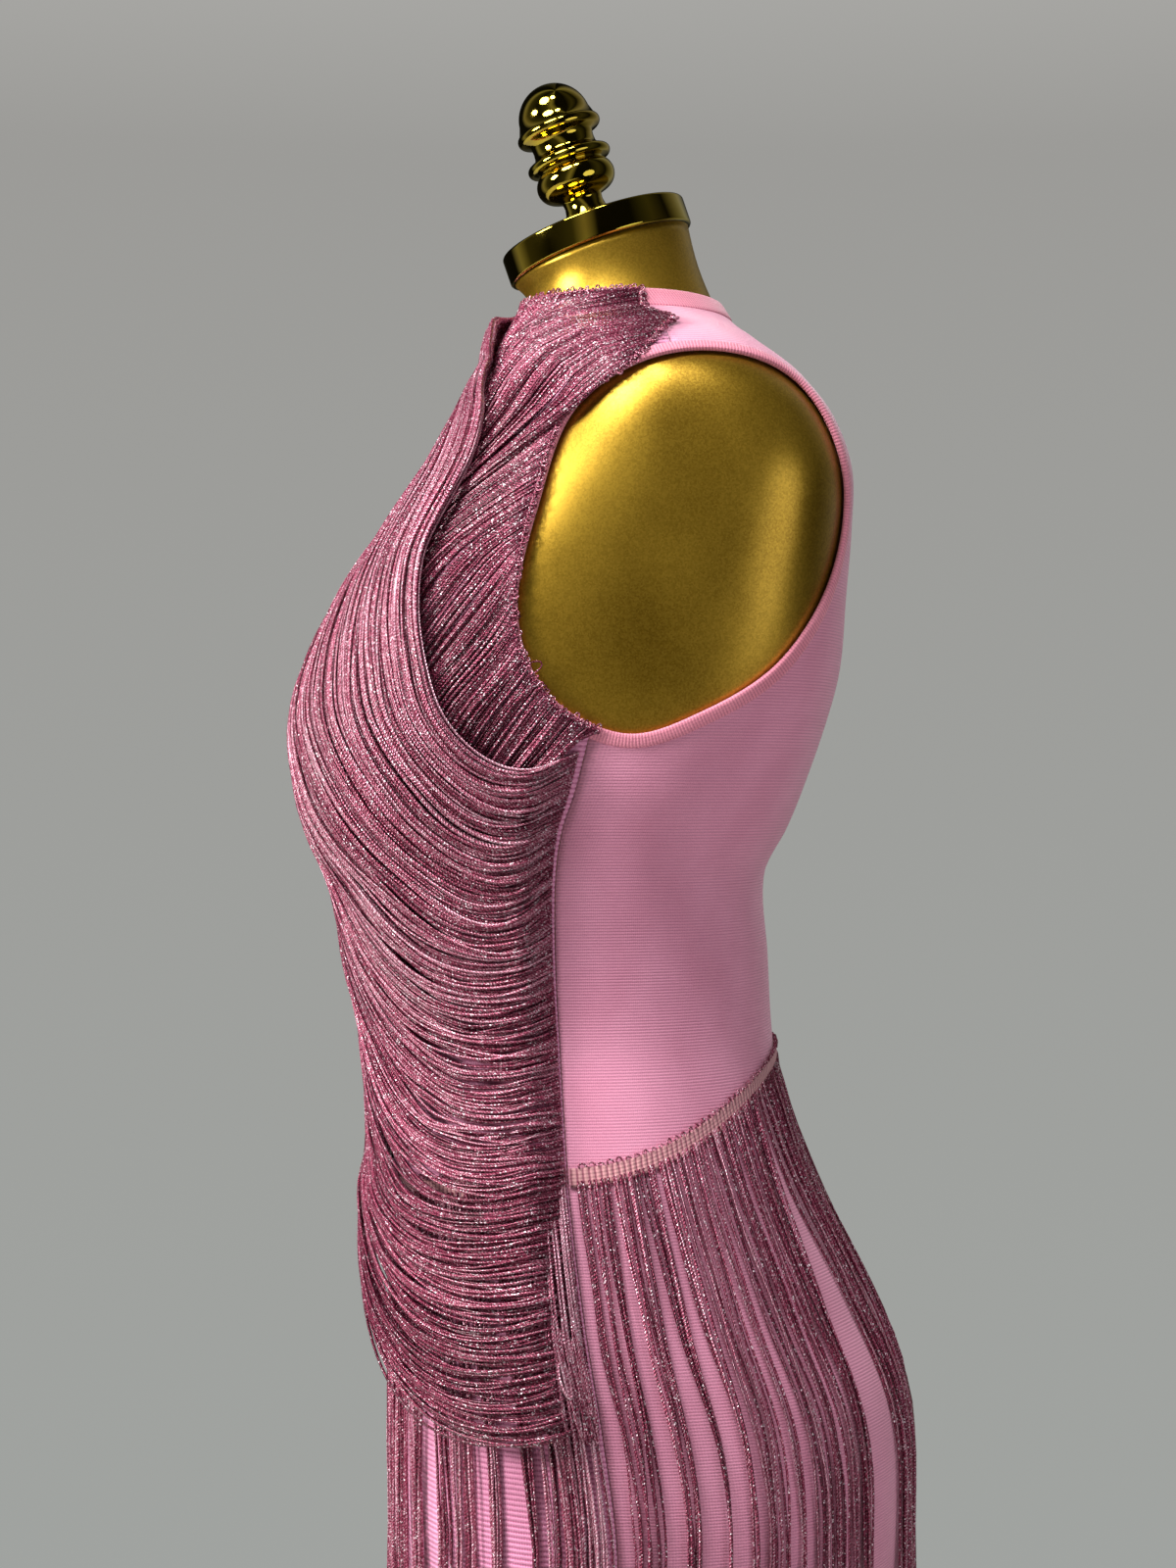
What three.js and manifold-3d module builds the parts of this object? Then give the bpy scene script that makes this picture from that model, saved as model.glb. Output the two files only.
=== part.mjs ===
// A bodycon dress on a limbless dress form, in millimetres, +Z up.
// The front of the dress faces -Y, the wearer's left side is +X, and the stand's base is at the origin.
import * as THREE from "three";
import { mergeVertices } from "three/addons/utils/BufferGeometryUtils.js";
import Module from "manifold-3d";

const wasm = await Module();
wasm.setup();

// The outside of the knit dress. Each row is one level section, made of two half superellipses
// that meet at the side seams: halfWidth and seam are the seam's X and Y, front and back the section's ends.
const BODY_ROWS = [
  { height: 500, halfWidth: 150, front: -92, back: 122, seam: 6, frontPower: 2.2, backPower: 2.2 },
  { height: 620, halfWidth: 155, front: -98, back: 132, seam: 5, frontPower: 2.2, backPower: 2.2 },
  { height: 762, halfWidth: 163, front: -105, back: 145, seam: 4, frontPower: 2.2, backPower: 2.3 },
  { height: 848, halfWidth: 167, front: -107, back: 150, seam: 3, frontPower: 2.3, backPower: 2.4 },
  { height: 896, halfWidth: 165, front: -107, back: 146, seam: -3, frontPower: 2.3, backPower: 2.4 },
  { height: 944, halfWidth: 157, front: -107, back: 126, seam: -11, frontPower: 2.3, backPower: 2.3 },
  { height: 997, halfWidth: 142, front: -108, back: 100, seam: -18, frontPower: 2.3, backPower: 2.3 },
  { height: 1035, halfWidth: 128, front: -109, back: 87, seam: -21, frontPower: 2.3, backPower: 2.3 },
  { height: 1067, halfWidth: 119, front: -112, back: 83, seam: -23, frontPower: 2.3, backPower: 2.3 },
  { height: 1104, halfWidth: 119, front: -120, back: 81, seam: -25, frontPower: 2.3, backPower: 2.3 },
  { height: 1145, halfWidth: 126, front: -128, back: 79, seam: -25, frontPower: 2.4, backPower: 2.4 },
  { height: 1168, halfWidth: 131, front: -138, back: 90, seam: -22, frontPower: 2.5, backPower: 2.6 },
  { height: 1186, halfWidth: 136, front: -143, back: 97, seam: -16, frontPower: 2.6, backPower: 2.8 },
  { height: 1220, halfWidth: 144, front: -146, back: 108, seam: -7, frontPower: 2.6, backPower: 3.2 },
  { height: 1246, halfWidth: 148, front: -139, back: 114, seam: 2, frontPower: 2.5, backPower: 3.5 },
  { height: 1280, halfWidth: 153, front: -122, back: 116, seam: 11, frontPower: 2.4, backPower: 3.8 },
  { height: 1312, halfWidth: 156, front: -101, back: 118, seam: 20, frontPower: 2.3, backPower: 4.0 },
  { height: 1340, halfWidth: 156, front: -82, back: 118, seam: 26, frontPower: 2.2, backPower: 4.0 },
  { height: 1365, halfWidth: 152, front: -68, back: 110, seam: 29, frontPower: 2.1, backPower: 3.6 },
  { height: 1384, halfWidth: 143, front: -59, back: 97, seam: 29, frontPower: 2.1, backPower: 3.2 },
  { height: 1393, halfWidth: 133, front: -54, back: 89, seam: 28, frontPower: 2.1, backPower: 2.9 },
  { height: 1402, halfWidth: 115, front: -52, back: 81, seam: 26, frontPower: 2.1, backPower: 2.6 },
  { height: 1410, halfWidth: 93, front: -50, back: 75, seam: 23, frontPower: 2.1, backPower: 2.4 },
  { height: 1417, halfWidth: 73, front: -48, back: 69, seam: 19, frontPower: 2.1, backPower: 2.2 },
  { height: 1424, halfWidth: 58, front: -45, back: 63, seam: 14, frontPower: 2.1, backPower: 2.1 },
  { height: 1434, halfWidth: 52, front: -42, back: 57, seam: 8, frontPower: 2.0, backPower: 2.0 },
];

// Heights of the rings that the walls are built through, hem to neck.
const WALL_HEIGHTS = [
  500, 762, 848, 896, 944, 997, 1050, 1104, 1145, 1180, 1220, 1260, 1300, 1340, 1370, 1390, 1404, 1415, 1424,
];
const RING_HEIGHTS = [...WALL_HEIGHTS, 1434];
const WALL_TURNS = 44; // facets round a whole section
const KNIT = 2; // thickness of the knit
const FORM_GAP = 0.85; // between the knit and the form inside it
const SEAM_GAP = 0.3; // between two pieces of cloth at a seam

const BAND = { top: 1433, inner: -2, outer: 0.8 }; // folded neck band
const BINDING = { width: 6, inner: -1.45, outer: 0.8, gap: 0.6, steps: 46 };

// The left armhole's edge, seen from the side, from the shoulder tip round the back.
const ARMHOLE = [
  { y: 34, height: 1388 },
  { y: 85, height: 1378 },
  { y: 109, height: 1334 },
  { y: 104, height: 1288 },
  { y: 78, height: 1246 },
  { y: 40, height: 1222 },
  { y: 6, height: 1213 },
  { y: -28, height: 1231 },
  { y: -42, height: 1268 },
  { y: -33, height: 1316 },
  { y: -14, height: 1364 },
];

// Heading tape of the skirt fringe: its top edge by turn, from the side seam to the centre back.
const TAPE = { tall: 8, inner: 0.3, outer: 1.8, front: 1000, side: 1014, back: 1060 };
const FRINGE = { fill: 0.7, inner: 2.5, outer: 5.3, hang: 848, end: 506 };
const FRINGE_HEIGHTS = [944, 896, 848]; // rings of a lock between the tape and its straight hang

// The two drapes. Offsets are from the outside of the knit to a lock's flat side and to its ridge.
const ROOT_STRIP = { inner: 2.6, outer: 3.7, width: 5 };
const DRAPE = {
  chord: 1.7, // a lock's facets stay this close to its path, and twice as close near its root
  rootShare: 0.1,
  fill: 0.76,
  length: 450, // of a middling strand
  rootOut: 3,
  rootDepth: 0.2, // how far across the strip a lock starts
  rootLift: 26, // length over which a lock rises from its strip to its layer
  rootBlend: 5, // length over which it leaves the root line for its own path
  endTurn: 179.2,
  endTop: 1205,
  endLow: 908,
  sagTop: 37,
  sagLow: 118,
};
const UNDER = { locks: 22, inner: 3.9, ridge: 6.6, side: 1 };
const OVER = { locks: 22, inner: 10.6, ridge: 13.2, side: -1 };
const SWAG_LIFT = 4.2; // the drapes lie this much further out where they cross the skirt fringe
// Strands turn about a frame that is as wide as the body, and wider where the shoulder faces forwards.
const BOW = 0.86; // power of the cosine by which a strand crosses the body
const FRAME = { low: 1290, high: 1372, extra: 50 };

const NECK = { tilt: 19, y: -3, height: 1459, radius: 46.5 };
const CAP = { radius: 48.5, tall: 15 };
const STEM = { y: -11.8, height: 1485 };
const STAND = { pole: 12.5, clearance: 0.3, base: 165, hub: 22, hubTop: 42, boreFloor: 12 };
const FORM_BOTTOM = { height: 762, inset: 9, depth: 7 };

const radians = THREE.MathUtils.degToRad;

// A smooth curve through one column of the body's rows.
function smoothColumn(column, height) {
  const rows = BODY_ROWS;
  let i = 0;
  while (i < rows.length - 2 && height > rows[i + 1].height) i++;
  const before = rows[Math.max(i - 1, 0)];
  const low = rows[i];
  const high = rows[i + 1];
  const after = rows[Math.min(i + 2, rows.length - 1)];
  const span = high.height - low.height;
  const f = THREE.MathUtils.clamp((height - low.height) / span, 0, 1);
  const lowSlope = ((high[column] - before[column]) / (high.height - before.height)) * span;
  const highSlope = ((after[column] - low[column]) / (after.height - low.height)) * span;
  const f2 = f * f;
  const f3 = f2 * f;
  return (
    low[column] * (2 * f3 - 3 * f2 + 1) +
    lowSlope * (f3 - 2 * f2 + f) +
    high[column] * (3 * f2 - 2 * f3) +
    highSlope * (f3 - f2)
  );
}

// The same column along the wall's flat facets, so that whatever lies on the wall follows them.
function columnAt(column, height) {
  let i = 0;
  while (i < RING_HEIGHTS.length - 2 && height > RING_HEIGHTS[i + 1]) i++;
  const [low, high] = [RING_HEIGHTS[i], RING_HEIGHTS[i + 1]];
  const share = THREE.MathUtils.clamp((height - low) / (high - low), 0, 1);
  return THREE.MathUtils.lerp(smoothColumn(column, low), smoothColumn(column, high), share);
}

const powerOf = (value, power) => Math.sign(value) * Math.abs(value) ** power;
const smooth = (value, from, to) => THREE.MathUtils.smoothstep(value, from, to);

// A point on the knit's outside, before any offset. Turn 0 is the left side seam, 90 the centre front,
// 180 the right side seam and 270 the centre back.
function skinPoint(turn, height) {
  const at = (column) => columnAt(column, height);
  const across = Math.cos(radians(turn));
  const forward = Math.sin(radians(turn));
  const power = 2 / at(forward > 0 ? "frontPower" : "backPower");
  const depth = forward > 0 ? at("seam") - at("front") : at("back") - at("seam");
  return new THREE.Vector3(
    at("halfWidth") * powerOf(across, power),
    at("seam") - depth * powerOf(forward, power),
    height,
  );
}

// The knit's outward direction at a point of its skin.
function skinNormal(turn, height) {
  const round = skinPoint(turn + 2, height).sub(skinPoint(turn - 2, height));
  const up = skinPoint(turn, height + 3).sub(skinPoint(turn, height - 3));
  return up.cross(round).normalize();
}

function bodyPoint(turn, height, out) {
  return skinPoint(turn, height).addScaledVector(skinNormal(turn, height), out);
}

// The turn at which the front, or the back, of the section at a height reaches a given Y.
function turnAtY(y, height) {
  const at = (column) => columnAt(column, height);
  const isFront = y < at("seam");
  const depth = isFront ? at("seam") - at("front") : at("back") - at("seam");
  const share = Math.min(Math.abs(at("seam") - y) / depth, 1);
  const power = at(isFront ? "frontPower" : "backPower") / 2;
  const turn = THREE.MathUtils.radToDeg(Math.asin(share ** power));
  return isFront ? turn : 360 - turn;
}

// The turn at which the front of the section at a height reaches a given X.
function turnAtX(x, height) {
  const share = THREE.MathUtils.clamp(x / columnAt("halfWidth", height), -1, 1);
  const power = columnAt("frontPower", height) / 2;
  return THREE.MathUtils.radToDeg(Math.acos(powerOf(share, power)));
}

// A closed solid through sections that all have the same number of points.
function loft(sections, isRing = false) {
  const size = sections[0].length;
  const faces = [];
  const last = isRing ? sections.length : sections.length - 1;
  for (let s = 0; s < last; s++) {
    const here = s * size;
    const next = ((s + 1) % sections.length) * size;
    for (let k = 0; k < size; k++) {
      const k1 = (k + 1) % size;
      faces.push(here + k, here + k1, next + k1, here + k, next + k1, next + k);
    }
  }
  if (!isRing) {
    faces.push(...capFaces(0, size, true), ...capFaces(last * size, size, false));
  }
  const geometry = new THREE.BufferGeometry().setFromPoints(sections.flat());
  geometry.setIndex(faces);
  if (volumeOf(geometry) < 0) {
    geometry.setIndex(faces.reverse());
  }
  return geometry;
}

// Triangles that zip up the two sides of an end section, so a thin bent section caps well too.
function capFaces(first, size, flipped) {
  const faces = [];
  const add = (a, b, c) => (flipped ? faces.push(a, c, b) : faces.push(a, b, c));
  let low = first;
  let high = first + size - 1;
  while (high - low > 1) {
    add(low, low + 1, high);
    low++;
    if (high - low > 1) {
      add(low, high - 1, high);
      high--;
    }
  }
  return faces;
}

function volumeOf(geometry) {
  const points = geometry.getAttribute("position");
  const corners = [0, 1, 2].map(() => new THREE.Vector3());
  let volume = 0;
  for (let i = 0; i < geometry.index.count; i += 3) {
    corners.forEach((corner, k) => corner.fromBufferAttribute(points, geometry.index.getX(i + k)));
    volume += corners[0].dot(corners[1].cross(corners[2])) / 6;
  }
  return volume;
}

// A geometry as a solid that can be joined and cut.
function solidOf(geometry) {
  const bare = geometry.clone();
  bare.deleteAttribute("normal");
  bare.deleteAttribute("uv");
  const merged = mergeVertices(bare, 1e-4);
  return new wasm.Manifold(
    new wasm.Mesh({
      numProp: 3,
      vertProperties: new Float32Array(merged.getAttribute("position").array),
      triVerts: new Uint32Array(merged.index.array),
    }),
  );
}

function geometryOf(solid) {
  const mesh = solid.getMesh();
  const geometry = new THREE.BufferGeometry();
  geometry.setAttribute("position", new THREE.BufferAttribute(new Float32Array(mesh.vertProperties), 3));
  geometry.setIndex(new THREE.BufferAttribute(new Uint32Array(mesh.triVerts), 1));
  return geometry;
}

const range = (count, from, to) => Array.from({ length: count + 1 }, (_, i) => from + ((to - from) * i) / count);

// One knit panel from side seam to side seam, its wall open at the armholes.
function panel(fromTurn) {
  const halfGap = 0.15;
  const turns = range(WALL_TURNS / 2, fromTurn, fromTurn + 180);
  const inwards = fromTurn === 0 ? -halfGap : halfGap;
  const sections = turns.map((turn, i) => {
    const isEnd = i === 0 || i === turns.length - 1;
    const shift = new THREE.Vector3(0, isEnd ? inwards : 0, 0);
    const side = (out) => WALL_HEIGHTS.map((height) => bodyPoint(turn, height, out).add(shift));
    return [...side(0), ...side(-KNIT).reverse()];
  });
  const hole = armholeCutter();
  return geometryOf(solidOf(loft(sections)).subtract(hole).subtract(hole.mirror([1, 0, 0])));
}

// Stops round the left armhole: a point of its edge on the skin, the skin's normal and the way outwards.
function armholeStops() {
  const curve = new THREE.CatmullRomCurve3(ARMHOLE.map((p) => new THREE.Vector3(0, p.y, p.height)), true);
  const places = range(BINDING.steps, 0, 1).slice(1).map((f) => curve.getPointAt(f));
  const turns = places.map((p) => turnAtY(p.y, p.z));
  const points = places.map((p, i) => skinPoint(turns[i], p.z));
  return points.map((here, i) => {
    const along = points[(i + 1) % points.length].clone().sub(points.at(i - 1));
    const normal = skinNormal(turns[i], places[i].z);
    return { here, normal, across: normal.clone().cross(along).normalize() };
  });
}

const ARMHOLE_STOPS = armholeStops();

// A point beside a stop: so far across the skin and so far out from it.
const beside = (stop, width, out) =>
  stop.here.clone().addScaledVector(stop.across, width).addScaledVector(stop.normal, out);

// Cuts a panel square to its wall, just outside the binding, and then straight out to the side.
function armholeCutter() {
  const width = BINDING.width + BINDING.gap;
  const inside = ARMHOLE_STOPS.map((stop) => beside(stop, width, -12));
  const outside = ARMHOLE_STOPS.map((stop) => beside(stop, width, 6));
  return solidOf(loft([inside, outside, outside.map((point) => point.clone().setX(260))]));
}

function armholeBinding(side) {
  const sections = ARMHOLE_STOPS.map((stop) => [
    beside(stop, 0, BINDING.inner),
    beside(stop, 0, BINDING.outer),
    beside(stop, BINDING.width, BINDING.outer),
    beside(stop, BINDING.width, BINDING.inner),
  ]);
  return mirrored(loft(sections, true), side);
}

// The same shape on the left (1) or right (-1) side.
function mirrored(geometry, side) {
  if (side > 0) return geometry;
  geometry.scale(-1, 1, 1);
  geometry.setIndex([...geometry.index.array].reverse());
  return geometry;
}

function neckBand() {
  const low = WALL_HEIGHTS.at(-1) + SEAM_GAP;
  const sections = range(WALL_TURNS, 0, 360).slice(0, WALL_TURNS).map((turn) => [
    bodyPoint(turn, low, BAND.inner),
    bodyPoint(turn, low, BAND.outer),
    bodyPoint(turn, BAND.top, BAND.outer),
    bodyPoint(turn, BAND.top, BAND.inner),
  ]);
  return loft(sections, true);
}

function tapeTop(turn) {
  const back = Math.max(-Math.sin(radians(turn)), 0);
  const front = Math.max(Math.sin(radians(turn)), 0);
  return TAPE.side + (TAPE.back - TAPE.side) * back ** 1.6 + (TAPE.front - TAPE.side) * front;
}

// A drop of heading tape from one turn to another, with locks of fringe hanging from its lower edge.
function skirtFringe(tapeTurns, lockTurns, locks, shift) {
  const steps = WALL_TURNS / 2;
  const sections = range(steps, ...tapeTurns).map((turn, i) => {
    const seam = new THREE.Vector3(0, i === 0 || i === steps ? shift : 0, 0);
    const top = tapeTop(turn);
    return [
      bodyPoint(turn, top, TAPE.inner).add(seam),
      bodyPoint(turn, top, TAPE.outer).add(seam),
      bodyPoint(turn, top - TAPE.tall, TAPE.outer).add(seam),
      bodyPoint(turn, top - TAPE.tall, TAPE.inner).add(seam),
    ];
  });
  let solid = solidOf(loft(sections));
  const edges = evenTurns(locks, ...lockTurns);
  for (let i = 0; i < locks; i++) {
    const inset = ((1 - FRINGE.fill) / 2) * (edges[i + 1] - edges[i]);
    solid = solid.add(solidOf(skirtLock(edges[i] + inset, edges[i + 1] - inset, i)));
  }
  return geometryOf(solid);
}

// Turns that cut the hip section into stretches of equal length.
function evenTurns(count, from, to) {
  const fine = range(240, from, to);
  const lengths = [0];
  for (let i = 1; i < fine.length; i++) {
    const step = skinPoint(fine[i], FRINGE.hang).distanceTo(skinPoint(fine[i - 1], FRINGE.hang));
    lengths.push(lengths[i - 1] + step);
  }
  return range(count, 0, lengths.at(-1)).map((length) => {
    const i = Math.max(lengths.findIndex((reach) => reach >= length - 1e-6), 0);
    return fine[i];
  });
}

// One lock of the skirt fringe: it follows the hip and hangs straight down from there.
function skirtLock(fromTurn, toTurn, index) {
  const middle = (fromTurn + toTurn) / 2;
  const root = tapeTop(middle) - TAPE.tall;
  const end = FRINGE.end + 9 * Math.sin(index * 2.4);
  const section = (height, inner, outer, drop) =>
    [
      bodyPoint(fromTurn, height, inner),
      bodyPoint(toTurn, height, inner),
      bodyPoint(middle, height, outer),
    ].map((point) => point.add(new THREE.Vector3(0, 0, -drop)));
  return loft([
    section(root + 3, TAPE.inner + 0.2, TAPE.outer - 0.2, 0),
    section(root - 14, FRINGE.inner, FRINGE.outer, 0),
    ...FRINGE_HEIGHTS.map((height) => section(height, FRINGE.inner, FRINGE.outer, 0)),
    section(FRINGE.hang, FRINGE.inner, FRINGE.outer, FRINGE.hang - end),
  ]);
}

// The drapes' root line on the left: along the neckline, down the shoulder seam and the armhole's front.
// Each stop has a point of the skin, the skin's normal there, and the direction onto the front.
function rootStops() {
  const neck = [80, 58, 36, 16].map((turn) => skinPoint(turn, BAND.top - 1.5));
  const shoulder = [1421, 1412, 1403].map((height) => skinPoint(1.5, height));
  const front = [43, 40, 38, 36, 34, 31, 29, 27].map((i) => beside(ARMHOLE_STOPS[i], 1, 0));
  const curve = new THREE.CatmullRomCurve3([...neck, ...shoulder, ...front], false, "centripetal");
  const points = range(40, 0, 1).map((f) => onSkin(curve.getPointAt(f)));
  return points.map((place, i) => {
    const here = skinPoint(place.turn, place.height);
    const [before, after] = [points[Math.max(i - 1, 0)], points[Math.min(i + 1, points.length - 1)]];
    const along = skinPoint(after.turn, after.height).sub(skinPoint(before.turn, before.height));
    const normal = skinNormal(place.turn, place.height);
    return { here, normal, across: along.cross(normal).normalize() };
  });
}

function frameWidth(height) {
  const width = columnAt("halfWidth", Math.min(height, FRAME.high));
  return width + FRAME.extra * smooth(height, FRAME.low, FRAME.high);
}

// The turn and height of the skin nearest to a point of the left front.
function onSkin(point) {
  const isSide = point.x > 0.7 * columnAt("halfWidth", point.z);
  return { turn: isSide ? turnAtY(point.y, point.z) : turnAtX(point.x, point.z), height: point.z };
}

const ROOT_STOPS = rootStops();

// The stop at a share of the root line, with its directions blended.
function rootAt(share) {
  const reach = share * (ROOT_STOPS.length - 1);
  const i = Math.min(Math.floor(reach), ROOT_STOPS.length - 2);
  const blend = (key) => ROOT_STOPS[i][key].clone().lerp(ROOT_STOPS[i + 1][key], reach - i);
  return { here: blend("here"), normal: blend("normal"), across: blend("across") };
}

function rootStrip() {
  const sections = ROOT_STOPS.map((stop) => [
    beside(stop, 0, ROOT_STRIP.inner),
    beside(stop, 0, ROOT_STRIP.outer),
    beside(stop, ROOT_STRIP.width, ROOT_STRIP.outer),
    beside(stop, ROOT_STRIP.width, ROOT_STRIP.inner),
  ]);
  return loft(sections);
}

// A point of a drape. Across runs from the top strand (0) to the lowest (1), along from the root (0)
// on the left to the end (1) at the right side seam.
function drapePoint(across, along, rise, layer) {
  const root = rootAt(across);
  const start = beside(root, ROOT_STRIP.width * DRAPE.rootDepth, 0);
  const startTurn = THREE.MathUtils.radToDeg(Math.acos(powerOf(start.x / frameWidth(start.z), 1 / BOW)));
  const endHeight = DRAPE.endTop + (DRAPE.endLow - DRAPE.endTop) * across;
  const sag = DRAPE.sagTop + (DRAPE.sagLow - DRAPE.sagTop) * across;
  const skew = Math.max(4 - 4 * across, 3 - 2 * across);
  const peak = (skew / (skew + 1)) ** skew / (skew + 1);
  const droop = (along ** skew * (1 - along)) / peak;
  const height = start.z + (endHeight - start.z) * along - sag * droop;
  const turn = startTurn + (DRAPE.endTurn - startTurn) * along;
  const x = frameWidth(height) * powerOf(Math.cos(radians(turn)), BOW);
  const reach = along * DRAPE.length;
  const lift = smooth(reach, 0, DRAPE.rootLift);
  const overFringe = SWAG_LIFT * smooth(tapeTop(turn) + 12 - height, 0, 24) * smooth(along, 0.02, 0.1);
  const rootOut = DRAPE.rootOut + rise * 0.2;
  const out = rootOut + (layer.inner + rise - rootOut) * lift + overFringe;
  const free = bodyPoint(turnAtX(x, height), height, out);
  return start.addScaledVector(root.normal, out).lerp(free, smooth(reach, 0, DRAPE.rootBlend));
}

// Shares along a path whose chords stay within a tolerance of it.
function chordSteps(pointAt, tolerance) {
  const fine = range(220, 0, 1).map((f) => f ** 2);
  const points = fine.map(pointAt);
  const chord = new THREE.Line3();
  const foot = new THREE.Vector3();
  const strays = (from, to) => {
    chord.set(points[from], points[to]);
    const limit = fine[from] < DRAPE.rootShare ? tolerance / 2 : tolerance;
    return points.slice(from + 1, to).some((p) => chord.closestPointToPoint(p, true, foot).distanceTo(p) > limit);
  };
  const shares = [0];
  let from = 0;
  for (let to = 2; to < fine.length; to++) {
    if (strays(from, to)) {
      from = to - 1;
      shares.push(fine[from]);
    }
  }
  return [...shares, 1];
}

function drape(layer) {
  let solid = solidOf(rootStrip());
  for (let i = 0; i < layer.locks; i++) {
    const top = (i + (1 - DRAPE.fill) / 2) / layer.locks;
    const low = top + DRAPE.fill / layer.locks;
    const middle = (top + low) / 2;
    const rise = layer.ridge - layer.inner;
    const shares = chordSteps((along) => drapePoint(middle, along, 0, layer), DRAPE.chord);
    const sections = shares.map((along) => [
      drapePoint(top, along, 0, layer),
      drapePoint(low, along, 0, layer),
      drapePoint(middle, along, rise, layer),
    ]);
    solid = solid.add(solidOf(loft(sections)));
  }
  return mirrored(geometryOf(solid), layer.side);
}

// The torso: rings under the knit, a neck that leans forwards, and a rounded closed bottom.
function formTorso() {
  const turns = range(WALL_TURNS, 0, 360).slice(0, WALL_TURNS);
  const inside = -KNIT - FORM_GAP;
  const bottom = { height: FORM_BOTTOM.height, out: inside };
  const levels = WALL_HEIGHTS.filter((height) => height > bottom.height).map((height) => ({ height, out: inside }));
  const rings = [bottom, ...levels, { height: BAND.top, out: inside }].map((level) =>
    turns.map((turn) => bodyPoint(turn, level.height, level.out)),
  );
  const sole = rings[0].map((point) => {
    const inset = new THREE.Vector3(point.x, point.y, 0).setLength(FORM_BOTTOM.inset);
    return point.clone().sub(inset).setZ(FORM_BOTTOM.height - FORM_BOTTOM.depth);
  });
  const neck = turns.map((turn) =>
    new THREE.Vector3(Math.cos(radians(turn)), -Math.sin(radians(turn)), 0)
      .multiplyScalar(NECK.radius)
      .applyAxisAngle(new THREE.Vector3(1, 0, 0), radians(NECK.tilt))
      .add(new THREE.Vector3(0, NECK.y, NECK.height)),
  );
  return loft([sole, ...rings, neck]);
}

// Turned pieces: each profile is a list of radius and height, from the axis back to the axis.
function turned(profile, segments) {
  const points = profile.map(([radius, height]) => new THREE.Vector2(radius, height));
  const geometry = new THREE.LatheGeometry(points, segments);
  return geometry.rotateX(Math.PI / 2);
}

// A quarter or more of a bead's outline, as points of radius and height.
function arcPoints(centre, height, radius, from, to, steps) {
  return range(steps, from, to).map((angle) => [
    centre + radius * Math.cos(radians(angle)),
    height + radius * Math.sin(radians(angle)),
  ]);
}

function neckCap() {
  const edge = 1.5;
  const r = CAP.radius - edge;
  return turned(
    [
      [0, SEAM_GAP],
      [r, SEAM_GAP],
      ...arcPoints(r, SEAM_GAP + edge, edge, -60, 0, 2),
      ...arcPoints(r, CAP.tall - edge, edge, 0, 60, 2),
      [r - 4, CAP.tall],
      [0, CAP.tall + 3],
    ],
    28,
  );
}

function finial() {
  return turned(
    [
      [0, -9.1],
      [12, -9.1],
      [10, -2],
      [10, 4],
      ...arcPoints(12, 13, 8, -70, 70, 4),
      [17, 21],
      ...arcPoints(19, 24, 2.6, -70, 70, 2),
      [16.5, 30],
      [16.5, 35],
      ...arcPoints(18.5, 40, 3.2, -60, 60, 2),
      ...arcPoints(0, 46, 18.5, 10, 78, 4),
      [0, 64.6],
    ],
    18,
  );
}

function standBase() {
  const bore = STAND.pole + STAND.clearance;
  return turned(
    [
      [0, 0],
      [STAND.base - 2, 0],
      [STAND.base, 2],
      [STAND.base, 8],
      [STAND.base - 4, 11],
      [STAND.hub + 30, 18],
      [STAND.hub + 4, 24],
      [STAND.hub, 30],
      [STAND.hub, STAND.hubTop],
      [bore, STAND.hubTop],
      [bore, STAND.boreFloor],
      [0, STAND.boreFloor],
    ],
    28,
  );
}

const SOCKET = { radius: 34, tall: 26, top: FORM_BOTTOM.height - FORM_BOTTOM.depth - SEAM_GAP };

function standPole() {
  const low = STAND.boreFloor + STAND.clearance;
  const tall = SOCKET.top - STAND.clearance - low;
  const geometry = new THREE.CylinderGeometry(STAND.pole, STAND.pole, tall, 24);
  return geometry.rotateX(Math.PI / 2).translate(0, 0, low + tall / 2);
}

function standSocket() {
  const bore = STAND.pole + STAND.clearance;
  const low = SOCKET.top - SOCKET.tall;
  return turned(
    [
      [bore, low],
      [bore + 7, low],
      [bore + 9, SOCKET.top - 6],
      [SOCKET.radius, SOCKET.top - 5],
      [SOCKET.radius, SOCKET.top],
      [bore, SOCKET.top],
      [bore, low],
    ],
    24,
  );
}

const KNIT_PINK = { color: "#e08db2", roughness: 0.85, metalness: 0 };
const BINDING_PINK = { color: "#e7a0bf", roughness: 0.85, metalness: 0 };
const FRINGE_ROSE = { color: "#c98296", roughness: 0.4, metalness: 0.35 };
const GOLD_PAINT = { color: "#a88a2a", roughness: 0.42, metalness: 0.7 };
const GOLD_CHROME = { color: "#d9b65c", roughness: 0.12, metalness: 1 };
const STAND_METAL = { color: "#b8954a", roughness: 0.3, metalness: 1 };

const group = new THREE.Group();

function add(name, geometry, finish, parent = group) {
  const mesh = new THREE.Mesh(geometry, new THREE.MeshStandardMaterial(finish));
  mesh.name = name;
  parent.add(mesh);
}

// The neck cap and finial share one frame that leans forwards with the neck.
function leaning(y, height) {
  const frame = new THREE.Group();
  frame.position.set(0, y, height);
  frame.rotation.x = radians(NECK.tilt);
  group.add(frame);
  return frame;
}

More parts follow.
